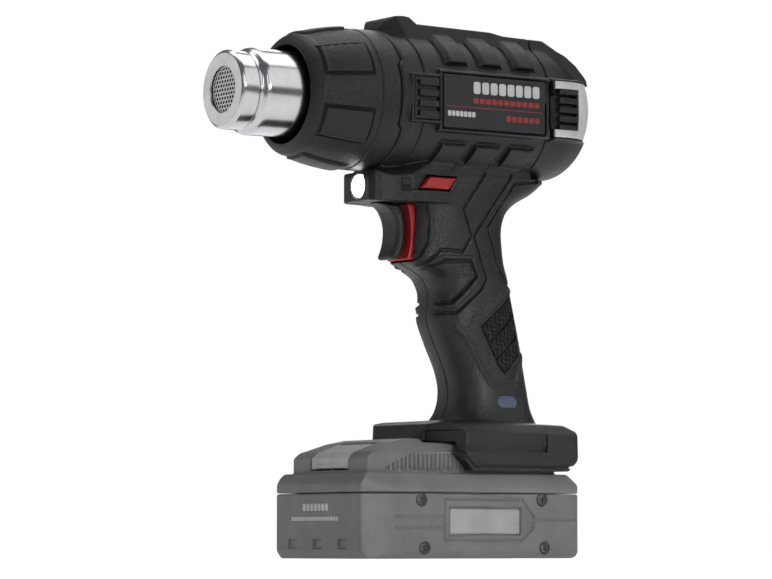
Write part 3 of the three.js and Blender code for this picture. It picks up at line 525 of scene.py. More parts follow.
def foot(x, side, z):
    """The foot that the pack slides into, with a sunk panel round its front and sides."""
    plan = all_of(slab(x, -30, FOOT_BACK_X), side - FOOT_HALF, ramp(x, side, (-4.6, 14), (12, FOOT_HALF)),
                  ramp(x, side, (73.6, FOOT_HALF), (FOOT_BACK_X, 34.6)), soft=0.6)
    section = all_of(ramp(side, z, (22, 63), (31, 60.6)),
                     ramp(side, z, (31, 60.6), (FOOT_HALF, 55.5)), side - FOOT_HALF, soft=0.6)
    sunk = 0.8 + 0.16 * (58 - z)
    panel = all_of(slab(x, 0.6, 57), z - 57.4, ramp(x, z, (60, 47.6), (-20, 48.6)),
                   -sunk - plan, soft=0.4)
    rim = dip(path_gap(x, z, FOOT_RIM), 1.3, 0.8) * step_up(side, 20, 24)
    return less(all_of(outline(x, z, FOOT_SIDE), plan, section, soft=0.7) + rim, panel, soft=0.4)


def neck(x, y, z):
    """Neck and handle, with a ledge where the neck meets the barrel."""
    body = handle(x, y, z) - 0.5 * np.exp(-((z - NECK_TOP_Z + 1.2) / 1.1) ** 2)
    behind = np.where(x > CAP_SEAM_X - GAP, z - NECK_TOP_Z, -9)
    return smooth_max(body, behind, 0.5)


# Panel lines on the sides of the handle, seen from the side.
FRONT_LINE = [(35.3, 175), (23.5, 158), (28.6, 146), (23.8, 139), (12.6, 139.4), (5.9, 133),
              (0, 130.8)]
BACK_LINE = [(50.5, 175), (29.9, 146), (36.8, 127.2), (35, 122.9), (21.8, 111), (8, 111)]
REAR_LINE = [(67.5, 173), (52.6, 171.4), (37.8, 150.5), (46.2, 129.7), (57, 122)]
TRIGGER_LIP = [(5.8, 160.7), (7.2, 152), (6.6, 142), (3.5, 136), (-1.8, 131.6)]
PALM_PANEL = [(3, 128.6), (6.8, 130), (14, 134.2), (28, 134.6), (31.4, 128), (20.2, 116),
              (3, 115.6)]
GRIP_PANEL = [(34.3, 105.3), (51.5, 119.4), (55.4, 112.5), (57, 92), (48, 83.8), (44.1, 88.4)]
LOWER_RIDGE = [(22, 104), (27, 100), (40, 79), (55, 80), (61, 93)]
UPPER_RIDGE = [(30, 108.5), (36, 111), (49.5, 123.5), (60, 121)]


def handle_detail(x, side, z):
    """How far panel lines and ridges lower the handle's surface."""
    lines = np.zeros(x.shape)
    for path in (FRONT_LINE, BACK_LINE, REAR_LINE):
        lines = np.maximum(lines, dip(path_gap(x, z, path), 1.5, 1.1))
    palm = outline(x, z, PALM_PANEL)
    lines = np.maximum(lines, dip(np.abs(palm), 1.6, 1.2))
    lines = np.maximum(lines, dip(path_gap(x, z, TRIGGER_LIP), 1.4, 0.9))
    lines -= 0.5 * (1 - step_up(np.abs(palm - 1.9), 0.4, 1.2))
    ridges = np.minimum(path_gap(x, z, LOWER_RIDGE), path_gap(x, z, UPPER_RIDGE))
    lines -= 0.6 * (1 - step_up(ridges, 0.2, 1.8))
    return lines * step_up(side, 5, 9)


def lock_field(x, z, grow):
    corners = [(lock_low[0] - grow, lock_low[2] - grow), (4.6 - grow, lock_high[2] + grow),
               (lock_high[0] + grow, lock_high[2] + grow), (15.2 + grow, lock_low[2] - grow)]
    return convex(x, z, corners, soft=0.4)


RECESS_Z = (165.6, 172.8)    # shallow recess ahead of the cross-bolt
POCKET_HALF = 8.9            # half width of the trigger's pocket


def openings(x, y, z):
    """Pocket for the trigger, hole for the lamp and the cross-bolt's tunnel."""
    trigger = block(x, y, z, (-40, -POCKET_HALF, pad_low[2] - 0.7),
                    (31, POCKET_HALF, NECK_LOW_Z), 0.5)
    lamp = all_of(np.hypot(y, z - LED_Z) - LED_R - 0.5, slab(x, -40, LED_X + 6), soft=0.4)
    low, high = RECESS_Z
    front_recess = all_of(ramp(x, z, (-4.4, low), (2, high)), slab(z, low, high),
                          x - 8, NECK_HALF - 1.6 - np.abs(y), soft=0.4)
    return any_of(trigger, lamp, lock_field(x, z, 0.6), front_recess, soft=0.3)


MOUTH_HALF = 30.6
MOUTH_TOP_Z = 52.1


def foot_mouth(x, side, z):
    """Room in the foot for the part of the pack that slides in."""
    wide = all_of(slab(x, -20, 66.4), side - MOUTH_HALF, z - MOUTH_TOP_Z, soft=0.4)
    back = all_of(slab(x, 60, 71), side - MOUTH_HALF, slab(z, 43.8, MOUTH_TOP_Z), soft=0.4)
    return np.minimum(wide, back)


def inner_space(x, side, z):
    """Room inside the two halves."""
    tunnel = np.maximum(np.hypot(side, z - AXIS_Z) - BARREL_R + WALL,
                        slab(x, CONE_SEAM_X - 5, CAP_SEAM_X + 5))
    link = all_of(slab(x, 16, 56), side - 12, slab(z, 168, 182))
    return np.minimum(tunnel, link)


SCREWS = [ends(f"housing_screw_{n}") for n in range(1, 5)]


def screw_wells(x, y, z):
    wells = [all_of(np.hypot(x - (a[0] + b[0]) / 2, z - (a[2] + b[2]) / 2) - 3.4,
                    b[1] - 2.6 - y, soft=0.5) for a, b in SCREWS]
    return any_of(*wells)


def grip_shape(x, y, z):
    return neck(x, y, z) + handle_detail(x, np.abs(y), z)


def handle_room(x, y, z):
    return handle(x, y, z, WALL + 0.4)


def side_pockets(x, side, z):
    return np.minimum(label_pocket(x, side, z), vent_pocket(x, side, z))


def grip_pocket(x, y, z):
    return np.maximum(outline(x, z, GRIP_PANEL), -handle(x, y, z, 1.3))


def housing(x, y, z, right):
    """One half of the housing, each part worked out only at its own height."""
    side = np.abs(y)
    at_foot = z < 67
    at_grip = (z > 57) & (z < 183)
    at_inlay = (z > 80) & (z < 124)
    at_barrel = z > 158
    at_lamp = at_barrel & (z < 186)
    body = only(at_barrel, FAR, barrel, x, side, z)
    body = smooth_min(body, only(at_grip, FAR, grip_shape, x, y, z), 1.2)
    body = smooth_min(body, only(at_lamp, FAR, lamp_box, x, side, z), 1.2)
    body = smooth_min(body, only(at_foot, FAR, foot, x, side, z), 2.5)
    inside = only(at_grip, FAR, handle_room, x, y, z)
    inside = np.minimum(inside, only(at_barrel, FAR, inner_space, x, side, z))
    body = np.maximum(body, -inside)
    body = smooth_max(body, -only(at_foot, FAR, foot_mouth, x, side, z), 0.5)
    body = smooth_max(body, -only(at_grip, FAR, openings, x, y, z), 0.6)
    pockets = only(at_barrel, FAR, side_pockets, x, side, z)
    pockets = np.minimum(pockets, only(at_inlay, FAR, grip_pocket, x, y, z))
    body = smooth_max(body, -pockets, 0.4)
    if right:
        body = smooth_max(body, -screw_wells(x, y, z), 0.5)
    return np.maximum(body, (GAP / 2 - y) if right else (y + GAP / 2))


def housing_half(name, right):
    low, high = ends(name)
    return field_mesh(name + "_moulding", lambda x, y, z: housing(x, y, z, right), low, high)


# Hot end -------------------------------------------------------------------------------------

def lathe(name, profile, sides=160):
    """A closed [x, radius] profile turned about the barrel's axis, in millimetres."""
    profile = np.array(profile, float)
    angles = np.arange(sides) * (2 * math.pi / sides)
    x = np.repeat(profile[:, 0], sides)
    radius = np.repeat(profile[:, 1], sides)
    turn = np.tile(angles, len(profile))
    points = np.stack([x, radius * np.cos(turn), AXIS_Z + radius * np.sin(turn)], 1)
    return mesh_object(name, points * MM, tube_faces(len(profile), sides, True))


def rounded(corners, radius=0.5, steps=4):
    """The closed outline with each corner replaced by a short arc."""
    corners = [np.array(c, float) for c in corners]
    path = []
    neighbours = zip(corners[-1:] + corners[:-1], corners, corners[1:] + corners[:1])
    for before, corner, after in neighbours:
        back, ahead = before - corner, after - corner
        reach = min(radius, np.hypot(*back) / 2.1, np.hypot(*ahead) / 2.1)
        start = corner + back / np.hypot(*back) * reach
        end = corner + ahead / np.hypot(*ahead) * reach
        for t in np.linspace(0, 1, steps + 1):
            path.append((1 - t) ** 2 * start + 2 * t * (1 - t) * corner + t * t * end)
    return path


def nozzle():
    skin = 0.9
    rim, step, shoulder = NOZZLE_X + 1.2, NOZZLE_X + 9.4, NOZZLE_X + 12.6
    return lathe("nozzle_shell", rounded([
        (NOZZLE_X, OUTLET_R), (NOZZLE_X, NOZZLE_R - 1.4), (rim, NOZZLE_R), (step - 1, NOZZLE_R),
        (step, NOZZLE_R - 0.7), (step + 1.2, NOZZLE_R - 0.5), (shoulder - 0.6, TUBE_R - 0.3),
        (shoulder + 1, TUBE_R), (tube_high[0], TUBE_R), (tube_high[0], TUBE_R - skin),
        (shoulder + 0.4, TUBE_R - skin), (step + 0.4, NOZZLE_R - skin), (rim, NOZZLE_R - skin),
        (NOZZLE_X + 1, NOZZLE_R - 2.4), (NOZZLE_X + 1, OUTLET_R),
    ], 0.45))


def sieve(x, y, z):
    """Thin disc with round holes on a hexagonal grid."""
    pitch, hole = 2.15, 0.72
    low, high = ends("outlet_screen")
    row_height = pitch * math.sqrt(3)
    up = z - AXIS_Z
    holes = np.full(np.shape(x), 9.0)
    for shift in (0, 0.5):
        a = (y / pitch + shift + 0.5) % 1 - 0.5
        b = (up / row_height + shift + 0.5) % 1 - 0.5
        holes = np.minimum(holes, np.hypot(a * pitch, b * row_height) - hole)
    holes = np.maximum(holes, np.hypot(y, up) - OUTLET_R + 0.5)
    disc = np.maximum(slab(x, low[0], high[0]), np.hypot(y, up) - high[1])
    return smooth_max(disc, -holes, 0.3)


CONE_R = smooth_rows(np.array([
    (-80, 22), (CONE_LIP_X, 23.4), (-60, 26.2), (-54, 27.9), (-48, 29.3), (-40, 30.7), (-31, 31.7),
    (CONE_SEAM_X, 32)]))


CONE_PLATE_X = (-56.5, -34)  # front and back of the raised plates
CONE_CHANNEL = 0.245         # angle from a plate's middle to its channel, in radians
CONE_BORE_R = 22.1


def cone(x, y, z):
    """Nose cone with raised plates between dark channels."""
    up = z - AXIS_Z
    radius = np.hypot(y, up)
    skin = (radius - np.interp(x, *CONE_R)) * 0.97
    angle = np.arctan2(up, y)
    sixth = math.pi / 3
    off = np.abs((angle / sixth) % 1 - 0.5) * sixth
    across = (off - CONE_CHANNEL) * radius
    plate = np.maximum(across, slab(x, *CONE_PLATE_X))
    skin = skin - 1.1 * step_up(-plate, -0.1, 0.6) + dip(np.abs(plate - 0.5), 1.4, 0.9)
    skin = skin + dip(np.abs(x + 29.5), 1.1, 0.5)
    bore = radius - np.maximum(CONE_BORE_R, np.interp(x - 0.6, *CONE_R) - WALL)
    bore = np.where(x < CONE_LIP_X + 3, radius - CONE_BORE_R, bore)
    ends_field = slab(x, CONE_LIP_X, 99)
    seam = x - seam_x(z) + GAP
    bevel = (skin + seam + 0.8) * BEVEL
    return less(all_of(skin, ends_field, seam, bevel, soft=0.6), bore, soft=0.5)


# Rear ----------------------------------------------------------------------------------------

CAP_UPPER_R = smooth_rows(np.array([
    (CAP_SEAM_X - 5, BARREL_R), (CAP_SEAM_X, BARREL_R), (72, 31.3), (78.6, 28.4), (84, 25.5),
    (88, 22), (91.4, 17.5), (CAP_BACK_X, 13)]))
CAP_LOWER_R = smooth_rows(np.array([
    (CAP_SEAM_X - 5, BARREL_R), (CAP_SEAM_X, BARREL_R), (79.5, BARREL_R - 0.4), (86.5, 29),
    (90.4, 25.4), (CAP_BACK_X, 20)]))
TRIM_BAR = 3.5
TRIM_SKIN = 1.6
RIB_ROWS = [198.8, 203, 207.2, 211.4]
KEYS = {"button_down": -1, "button_mode": 0, "button_up": 1}


def cap_radius(x, z):
    """The cap is flatter above the band than below it."""
    share = step_up(z, AXIS_Z - 8, AXIS_Z + 8)
    return share * np.interp(x, *CAP_UPPER_R) + (1 - share) * np.interp(x, *CAP_LOWER_R)


def rear_plan(x, y, z, inset=0):
    """Distance to the rounded plan of the back, which leans in above and below the axis."""
    radius = CAP_CORNER_R
    along = x + 0.016 * (z - AXIS_Z) ** 2 - CAP_BACK_X + radius
    across = np.abs(y) - BAND_HALF + radius
    flat = np.minimum(np.maximum(along, across), 0)
    return np.hypot(np.maximum(along, 0), np.maximum(across, 0)) + flat - radius + inset


def trim_field(x, y, z, grow=0):
    """Bright band: a C at each side and a frame behind."""
    side = np.abs(y)
    low, high = trim_low[2] - grow, trim_high[2] + grow
    outer = trim_low[0] - grow - x
    if not grow:
        outer = np.maximum(rear_plan(x, y, z), outer)
    inner = -rear_plan(x, y, z, TRIM_SKIN + grow)
    bar = TRIM_BAR + grow
    opening = slab(z, low + bar, high - bar)
    c_mouth = np.maximum(opening, x - 78.8 + grow)
    back = all_of(opening, 86 - x, side - 14 + grow, soft=0.8)
    return less(all_of(slab(z, low, high), outer, inner, soft=0.5), c_mouth, back, soft=0.5)


def cap_openings(x, y, z):
    """Holes for the display and the keys."""
    low, high = ends("display_window")
    rim = 0.6
    result = all_of(slab(y, low[1] - rim, high[1] + rim), 90 - x,
                    slab(z, low[2] - rim, high[2] + rim), soft=0.6)
    for name in KEYS:
        low, high = ends(name)
        middle, radius = (low + high) / 2, (high[2] - low[2]) / 2
        hole = np.hypot(y - middle[1], z - middle[2]) - radius - 0.4
        result = np.minimum(result, np.maximum(hole, 88 - x))
    return result


GRILLE_FLOOR = 29.5          # distance from the middle to the bottom of the rear slots


def rear_grille(x, side, z):
    """Ribs inside the C of the trim, and the dark slot ahead of it."""
    slots = np.full(x.shape, 9.0)
    for row in RIB_ROWS:
        slot = all_of(slab(x, 67.5, 77.6), np.abs(z - row) - 0.8, GRILLE_FLOOR - side, soft=0.4)
        slots = np.minimum(slots, slot)
    recess = all_of(slab(x, 64.6, 67.6), GRILLE_FLOOR - side,
                    slab(z, trim_low[2] + TRIM_BAR, trim_high[2] - TRIM_BAR), soft=0.4)
    front = all_of(slab(x + 0.06 * (z - AXIS_Z), 60.4, 64.4), 27 - side, slab(z, 190.6, 219),
                   soft=0.4)
    return np.minimum(np.minimum(slots, recess), front)


def cap(x, y, z):
    side = np.abs(y)
    radius = np.hypot(y, z - AXIS_Z)
    shell = cap_radius(x, z)
    band = all_of(rear_plan(x, y, z), slab(z, *BAND_Z), *band_bevels(side, z))
    outer = any_of(all_of((radius - shell) * 0.85, x - CAP_BACK_X),
                   all_of(spine(x, side, z, BAND_Z[1] - 2), x - CAP_BACK_X, soft=2), band)
    outer = smooth_max(outer, CAP_SEAM_X + GAP - x)
    hollow = all_of(radius - shell + WALL + 0.9, x - 90.6, soft=2)
    return less(outer, hollow, cap_openings(x, y, z), trim_field(x, y, z, GAP),
                rear_grille(x, side, z), soft=0.4)


def key_cap(name):
    low, high = ends(name)
    middle = (low + high) / 2
    radius = (high[2] - low[2]) / 2

    def field(x, y, z):
        gap = np.hypot(y - middle[1], z - middle[2])
        dome = all_of(gap - radius, x - high[0] + 0.06 * gap * gap, 89.4 - x, soft=0.5)
        off_y, off_z = np.abs(y - middle[1]), np.abs(z - middle[2])
        mark = np.maximum(off_z - 0.25, off_y - 1.1)
        if KEYS[name] > 0:
            mark = np.minimum(mark, np.maximum(off_y - 0.25, off_z - 1.1))
        if KEYS[name] == 0:
            mark = np.abs(gap - 0.9) - 0.25
        dome = smooth_max(dome, -np.maximum(mark, high[0] - 0.5 - x), 0.2)
        stem = all_of(gap - 1.2, slab(x, low[0], 90), soft=0.3)
        return smooth_min(dome, stem, 0.3)

    return field_mesh(name + "_cap", field, low, high, 0.16)


# Side plates and grilles ----------------------------------------------------------------------

def label_field(x, side, z):
    inset = 0.5
    return block(x, side, z, (label_low[0] + inset, BAND_HALF - 1.4, label_low[2] + inset),
                 (label_high[0] - inset, BAND_HALF + 0.05, label_high[2] - inset), 0.8)


def vent_field(x, side, z):
    low, high = vent_low, vent_high
    body = block(x, side, z, (low[0], -low[1] - 2.9, low[2]), (high[0], -low[1], high[2]), 0.6)
    pitch = (high[2] - low[2]) / 4
    row = np.abs((z - low[2]) / pitch % 1 - 0.5) * pitch
    gaps = all_of(pitch / 2 - 0.95 - row, low[0] + 2.4 - x, -low[1] - 1.7 - side, soft=0.5)
    edge = np.minimum(z - low[2], high[2] - z)
    gaps = np.maximum(gaps, 1.2 - edge)
    mouth = all_of(slab(x, low[0] + 1.0, low[0] + 2.9), slab(z, low[2] + 1.5, high[2] - 1.5),
                   -low[1] - 2 - side, soft=0.4)
    return less(body, gaps, mouth, soft=0.5)


GRIP_GROUP = 8.4             # length of one group of tiles
GRIP_MIDDLE = (48, 101)
GRIP_ACROSS = (0.773, 0.634)  # direction of the groups' edges, seen from the side
TICK_PITCH = 2.8


def grip_field(x, side, z):
    """Soft inlay: three slanted groups of tiles with crossed ticks."""
    shape = outline(x, z, GRIP_PANEL) + 0.45
    skin = handle(x, side, z)
    along_x, along_z = GRIP_ACROSS
    off_x, off_z = x - GRIP_MIDDLE[0], z - GRIP_MIDDLE[1]
    down = along_z * off_x - along_x * off_z
    across = along_x * off_x + along_z * off_z
    group = (down + 12) / GRIP_GROUP % 1
    edge = np.minimum(group, 1 - group) * GRIP_GROUP
    zigzag = np.abs(down / 4.2 % 1 - 0.5) * 4.2
    tick = np.abs((across + zigzag) % TICK_PITCH - TICK_PITCH / 2)
    grooves = np.maximum(1.1 * (1 - step_up(edge, 0.3, 0.9)), 0.6 * (1 - step_up(tick, 0.2, 0.7)))
    return all_of(shape, skin + grooves, -handle(x, side, z, 1.2), soft=0.4)


def grip_tiles(name, sign):
    xs, zs = zip(*GRIP_PANEL)
    return one_side(name, grip_field, sign, (min(xs), 12, min(zs)), (max(xs), 19, max(zs)), FINE)


def sided(name, field, node, sign, step=FINE):
    """A piece in the node's box, from a field of (x, distance from the middle, z)."""
    return field_mesh(name, lambda x, y, z: field(x, sign * y, z), *ends(node), step)


def printed(name, bars, place, height=0.12):
    """Thin raised bars (u0, u1, v0, v1), set on a surface by place(u, v, height)."""
    sunk = -0.3
    points, faces = [], []
    for u0, u1, v0, v1 in bars:
        corner = 0.3 * min(u1 - u0, v1 - v0)
        path = rounded([(u0, v0), (u1, v0), (u1, v1), (u0, v1)], corner, 3)
        base, ring = len(points), len(path)
        for level in (sunk, height):
            points += [place(u, v, level) for u, v in path]
        for i in range(ring):
            j = (i + 1) % ring
            faces.append([base + i, base + j, base + ring + j, base + ring + i])
        faces.append([base + ring + i for i in range(ring)])
        faces.append([base + i for i in reversed(range(ring))])
    origin = np.array(place(0, 0, 0))
    across, up, out = (np.array(place(*step)) - origin for step in np.eye(3))
    if np.dot(np.cross(across, up), out) < 0:
        faces = [face[::-1] for face in faces]
    return flat_faced(name, points, faces)


def blocks(start, end, low, high, count):
    """A row of plain blocks in the place of lettering."""
    pitch = (end - start) / count
    return [(start + i * pitch, start + (i + 0.8) * pitch, low, high) for i in range(count)]


WHITE_BARS = blocks(18.7, 56.5, 209, 214.4, 8) + blocks(4.5, 20, 198.2, 200.6, 7)
RED_BARS = (blocks(18.7, 56.2, 204.6, 207, 11) + blocks(37, 56.2, 197.4, 200, 6)
            + [(3.4, 57.5, 202.5, 202.8)])
PADLOCK = [(-9.6, -5.2, 164.6, 167.9), (-9.4, -8.8, 167.7, 170.8), (-9.4, -6, 170.4, 171),
           (-6.6, -6, 169.4, 170.8)]
PACK_PRINT = blocks(-9, 12, 21.2, 24.4, 7) + blocks(-17, 21, 16.8, 18.6, 17)


# Controls ------------------------------------------------------------------------------------

# Stations of the finger pad: z, front.
PAD_FRONT = smooth_rows(np.array([
    (134.5, -7.2), (136.2, -7.6), (138, -6.8), (141, -5.6), (145, -4.8), (150, -4.8), (154.6, -6.4),
    (158.4, -9.8), (160.8, -15.5)]))


def pad_field(x, y, z):
    side = np.abs(y)
    front = (np.interp(z, *PAD_FRONT) - x) * 0.75
    back = x + 0.6 + 0.022 * (z - TRIGGER_Z) ** 2
    profile = all_of(front, back, slab(z, pad_low[2], pad_high[2]), soft=1)
    plan = all_of(ramp(x, side, (-16, 3.4), (-11, 6.2)), ramp(x, side, (-11, 6.2), (-5, 7.6)),
                  side - 7.6, soft=2)
    return smooth_max(profile, plan, 2.4)


def slide_field(x, y, z):
    front = x + 0.013 * (z - TRIGGER_Z) ** 2 - 1.6
    return all_of(-front, slab(x, slide_low[0], slide_high[0]), np.abs(y) - slide_high[1],
                  slab(z, slide_low[2], slide_high[2]), soft=0.8)


def lock_piece(x, y, z):
    face = lock_field(x, z, -0.1)
    dome = slab(y, lock_low[1], lock_high[1])
    return all_of(face, dome, soft=1.6)


def lamp_lens():
    front = lamp_low[0]
    profile = [(front, 0.01), (front, 2.6), (front + 0.25, 4.2), (front + 0.9, 5.1),
               (front + 2.4, LED_R - 0.1), (front + 2.4, 3.3), (lamp_high[0], 3.3),
               (lamp_high[0], 0.01)]
    lens = lathe("lamp_dome", rounded(profile, 0.3), 64)
    for vertex in lens.data.vertices:
        vertex.co.z += (LED_Z - AXIS_Z) * MM
    return lens


def spring_coil():
    """The trigger's return spring."""
    turns, steps, sides, wire = 6, 24, 12, 0.45
    low, high = ends("trigger_spring")
    coil_r = (high[1] - low[1]) / 2 - wire
    turn = np.linspace(0, 2 * math.pi * turns, turns * steps + 1)[:, None]
    around = (np.arange(sides) * (2 * math.pi / sides))[None, :]
    x = np.linspace(low[0] + wire, high[0] - wire, len(turn))[:, None] + wire * np.sin(around)
    reach = coil_r + wire * np.cos(around)
    z = (low[2] + high[2]) / 2 + reach * np.sin(turn)
    points = np.stack(np.broadcast_arrays(x, reach * np.cos(turn), z), -1).reshape(-1, 3)
    strip = np.arange(sides // 2 - 1)
    first_end = np.stack([strip, strip + 1, sides - 2 - strip, sides - 1 - strip], -1)
    last_end = first_end[:, ::-1] + (len(turn) - 1) * sides
    faces = np.concatenate([tube_faces(len(turn), sides, False), first_end, last_end])
    return mesh_object("trigger_spring_coil", points * MM, faces)


# Battery pack --------------------------------------------------------------------------------

PACK_HALF = tray_high[1]


def pack_plan(x, side):
    low, high = tray_low[0], tray_high[0]
    return all_of(ramp(x, side, (low, 34), (low + 13, PACK_HALF)), slab(x, low, high),
                  side - PACK_HALF, ramp(x, side, (high - 2.5, PACK_HALF), (high, 35)), soft=1.5)


PACK_SCREWS = [(-13, 25.9), (53.1, 26.3), (-11.4, 4.7), (54.7, 4.7)]
SIDE_PLATE_X, SIDE_PLATE_Z = (2.2, 40.7), (11, 22.2)
PLATE_FRAME = [(-0.6, 26.5), (41.6, 26.5), (48, 19), (48, 13.6), (41.6, 8), (-0.6, 8)]
SIDE_LINES = [[(-27, 18.5), (-0.6, 18.5)], [(-27, 13.6), (-0.6, 13.6)], [(48, 17.4), (72, 17.4)]]
FRONT_NOTCHES = (-20, 0, 20)


def tray_field(x, y, z):
    side = np.abs(y)
    low, high = tray_low[0], tray_high[0]
    foot_edge = all_of(ramp(x, z, (low + 3, 0), (low, 3)), ramp(x, z, (high, 3), (high - 3, 0)),
                       ramp(side, z, (PACK_HALF, 2), (PACK_HALF - 2, 0)), slab(z, 0, TRAY_TOP_Z))
    body = all_of(pack_plan(x, side), foot_edge, soft=1.2)
    hollow = block(x, y, z, (low + 6, -34.5, 2.4), (high - 4, 34.5, 60), 1.5)
    sheet = all_of(slab(x, SIDE_PLATE_X[0] - 0.6, SIDE_PLATE_X[1] + 0.6), 36.7 - side,
                   slab(z, SIDE_PLATE_Z[0] - 0.6, SIDE_PLATE_Z[1] + 0.6), soft=0.5)
    for sx, sz in PACK_SCREWS:
        sheet = np.minimum(sheet, np.maximum(np.hypot(x - sx, z - sz) - 2.9, 36 - side))
    for middle in FRONT_NOTCHES:
        notch = all_of(np.abs(y - middle) - 3.3, slab(z, 4.4, 8.6), x - low - 0.9, soft=0.4)
        sheet = np.minimum(sheet, notch)
    lines = dip(np.abs(outline(x, z, PLATE_FRAME)), 1.3, 0.6)
    for path in SIDE_LINES:
        lines = np.maximum(lines, dip(path_gap(x, z, path), 1.3, 0.5))
    lines = lines * step_up(side, 33, 35)
    return less(body + lines, hollow, sheet, soft=0.5)


HUMP_X = -37.2
HUMP_HALF = 30
HUMP_SIDE = ([HUMP_X, -34.2, -22, -13, -5.2, -5.0, 66],
             [44.8, 47.4, 51.6, lid_high[2], lid_high[2], 51.8, 51.8])
HUMP_ROOM = [(-33.6, 34), (-33.6, 44.4), (-20, 49.4), (46, 49.4), (46, 34)]
BUTTON_HOLE = [(-50, 39.3), (-31.6, 39.3), (-31.6, 44), (-20.2, 48.8), (-20.2, 60), (-50, 60)]
GRILLE_SIDE = [(-28, 38.8), (-28, 40.6), (-13.5, 46.8), (18.4, 46.8), (18.4, 38.8)]
PIVOT = (-30, 33)


def lid_shell(x, side, z):
    """Shoulder of the pack, and the hump that slides into the foot."""
    low, high = lid_low[0], lid_high[0]
    shoulder = all_of(pack_plan(x, side), slab(z, lid_low[2], DECK_Z),
                      ramp(side, z, (PACK_HALF - 4, DECK_Z), (PACK_HALF, 31)),
                      ramp(x, z, (low, 33), (low + 4, DECK_Z)),
                      ramp(x, z, (high - 5, DECK_Z), (high, 32)), soft=0.8)
    flank = ramp(side, z, (25, lid_high[2]), (HUMP_HALF, 47))
    hump = all_of(slab(x, HUMP_X, 66), side - HUMP_HALF, flank, 32 - z,
                  (z - np.interp(x, *HUMP_SIDE)) * 0.85, soft=1)
    ribs = np.abs((x + 27) / 2.3 % 1 - 0.5) * 2.3
    grille = step_up(-outline(x, z, GRILLE_SIDE), 0, 0.6) * step_up(side, 28, 29)
    hump = hump + 0.9 * (1 - step_up(ribs, 0.3, 0.8)) * grille
    return smooth_min(shoulder, hump, 0.8)


def lid_field(x, y, z):
    side = np.abs(y)
    low, high = lid_low[0], lid_high[0]
    body = lid_shell(x, side, z)
    inside_low = block(x, y, z, (low + 6, -33, 10), (high - 4, 33, 35.2), 1)
    inside_hump = np.maximum(outline(x, z, HUMP_ROOM), side - 26)
    button = np.maximum(outline(x, z, BUTTON_HOLE), side - 15.1)
    catch = block(x, y, z, (-4.4, -8.5, 46), (5.4, 8.5, 60), 0.5)
    groove = all_of(slab(x, 19.2, 80), 26.2 - side, slab(z, 41.4, 45.2), soft=0.5)
    slots = all_of(slab(x, 49.2, 80), np.abs(side - 9) - 2.8, slab(z, 39.4, 60), soft=0.5)
    body = less(body, inside_low, inside_hump, button, catch, groove, slots, soft=0.5)
    pivot_x, pivot_z = PIVOT
    lug = block(x, side, z, (pivot_x - 6, 11.5, pivot_z - 3.4), (pivot_x + 3.4, 14.5, pivot_z + 4.6),
                0.5)
    bore = np.maximum(np.hypot(x - pivot_x, z - pivot_z) - 2.1, side - 20)
    return smooth_max(smooth_min(body, lug, 0.5), -bore, 0.3)


PUSH_PLATE = [(HUMP_X, 39.9), (HUMP_X, 44.8), (-34.2, 47.4), (-23.6, 51), (-22.9, 49.4),
              (-33, 45.6), (-34.6, 43.8), (-34.6, 39.9)]


def latch_field(x, y, z):
    """Release lever: push plate, arm with the catch, and two legs down to the pivot pin."""
    side = np.abs(y)
    plate = all_of(outline(x, z, PUSH_PLATE), side - latch_high[1], soft=0.9)
    ridge = np.abs((z - 42.4) % 1.6 - 0.8)
    touched = step_up(11 - side, 0, 0.8) * step_up(-36 - x, -1, 0) * step_up(44.4 - z, 0, 0.6)
    plate = plate + 0.25 * (1 - step_up(ridge, 0.2, 0.6)) * touched
    arm = block(x, y, z, (-34, -7.6, 45.4), (2.6, 7.6, 47.6), 0.5)
    catch = all_of(slab(x, -3.4, 2.6), side - 7.6, slab(z, 47, latch_high[2]), soft=0.5)
    leg = block(x, side, z, (PIVOT[0] - 2, 5, 31.5), (PIVOT[0] + 2, 7.6, 46), 0.5)
    pin = all_of(np.hypot(x - PIVOT[0], z - PIVOT[1]) - 1.8, side - 14, soft=0.4)
    return any_of(plate, arm, catch, leg, pin, soft=0.5)


# Small metal pieces --------------------------------------------------------------------------

def screw_piece(name):
    """Pan-head screw with a six-point socket."""
    low, high = ends(name)
    cx, cz = (low[0] + high[0]) / 2, (low[2] + high[2]) / 2

    def field(x, y, z):
        gap = np.hypot(x - cx, z - cz)
        turn = np.arctan2(z - cz, x - cx)
        head = all_of(gap - 3, high[1] - 2.6 - y, y - high[1] + 0.05 * gap * gap, soft=0.5)
        socket = np.maximum(gap - 1.35 - 0.3 * np.cos(6 * turn), high[1] - 1.3 - y)
        thread = 0.12 * np.cos(y * 2 * math.pi / 1.2 + turn)
        shank = all_of(gap - 1.4 + thread, slab(y, low[1], high[1] - 2), soft=0.4)
        return smooth_min(smooth_max(head, -socket, 0.2), shank, 0.3)

    return field_mesh(name + "_pan_head", field, low, high, 0.2)


def pack_screw(name, x0, z0, sign):
    face, depth, radius = PACK_HALF - 0.35, 1.5, 2.4

    def field(x, out, z):
        gap = np.hypot(x - x0, z - z0)
        turn = np.arctan2(z - z0, x - x0)
        head = all_of(gap - radius, face - depth - out, out - face + 0.04 * gap * gap, soft=0.5)
        socket = np.maximum(gap - 1.1 - 0.25 * np.cos(6 * turn), face - 0.9 - out)
        return smooth_max(head, -socket, 0.2)

    return one_side(name, field, sign, (x0 - radius, face - depth, z0 - radius),
                    (x0 + radius, face, z0 + radius), 0.18)


def pack_plate(name, sign):
    """Blank name plate let into the pack's side."""
    low = (SIDE_PLATE_X[0], 36, SIDE_PLATE_Z[0])
    high = (SIDE_PLATE_X[1], PACK_HALF - 0.1, SIDE_PLATE_Z[1])
    return one_side(name, lambda x, out, z: block(x, out, z, low, high, 0.9), sign, low, high, 0.3)


BADGE_X, BADGE_Z = 48.4, 71


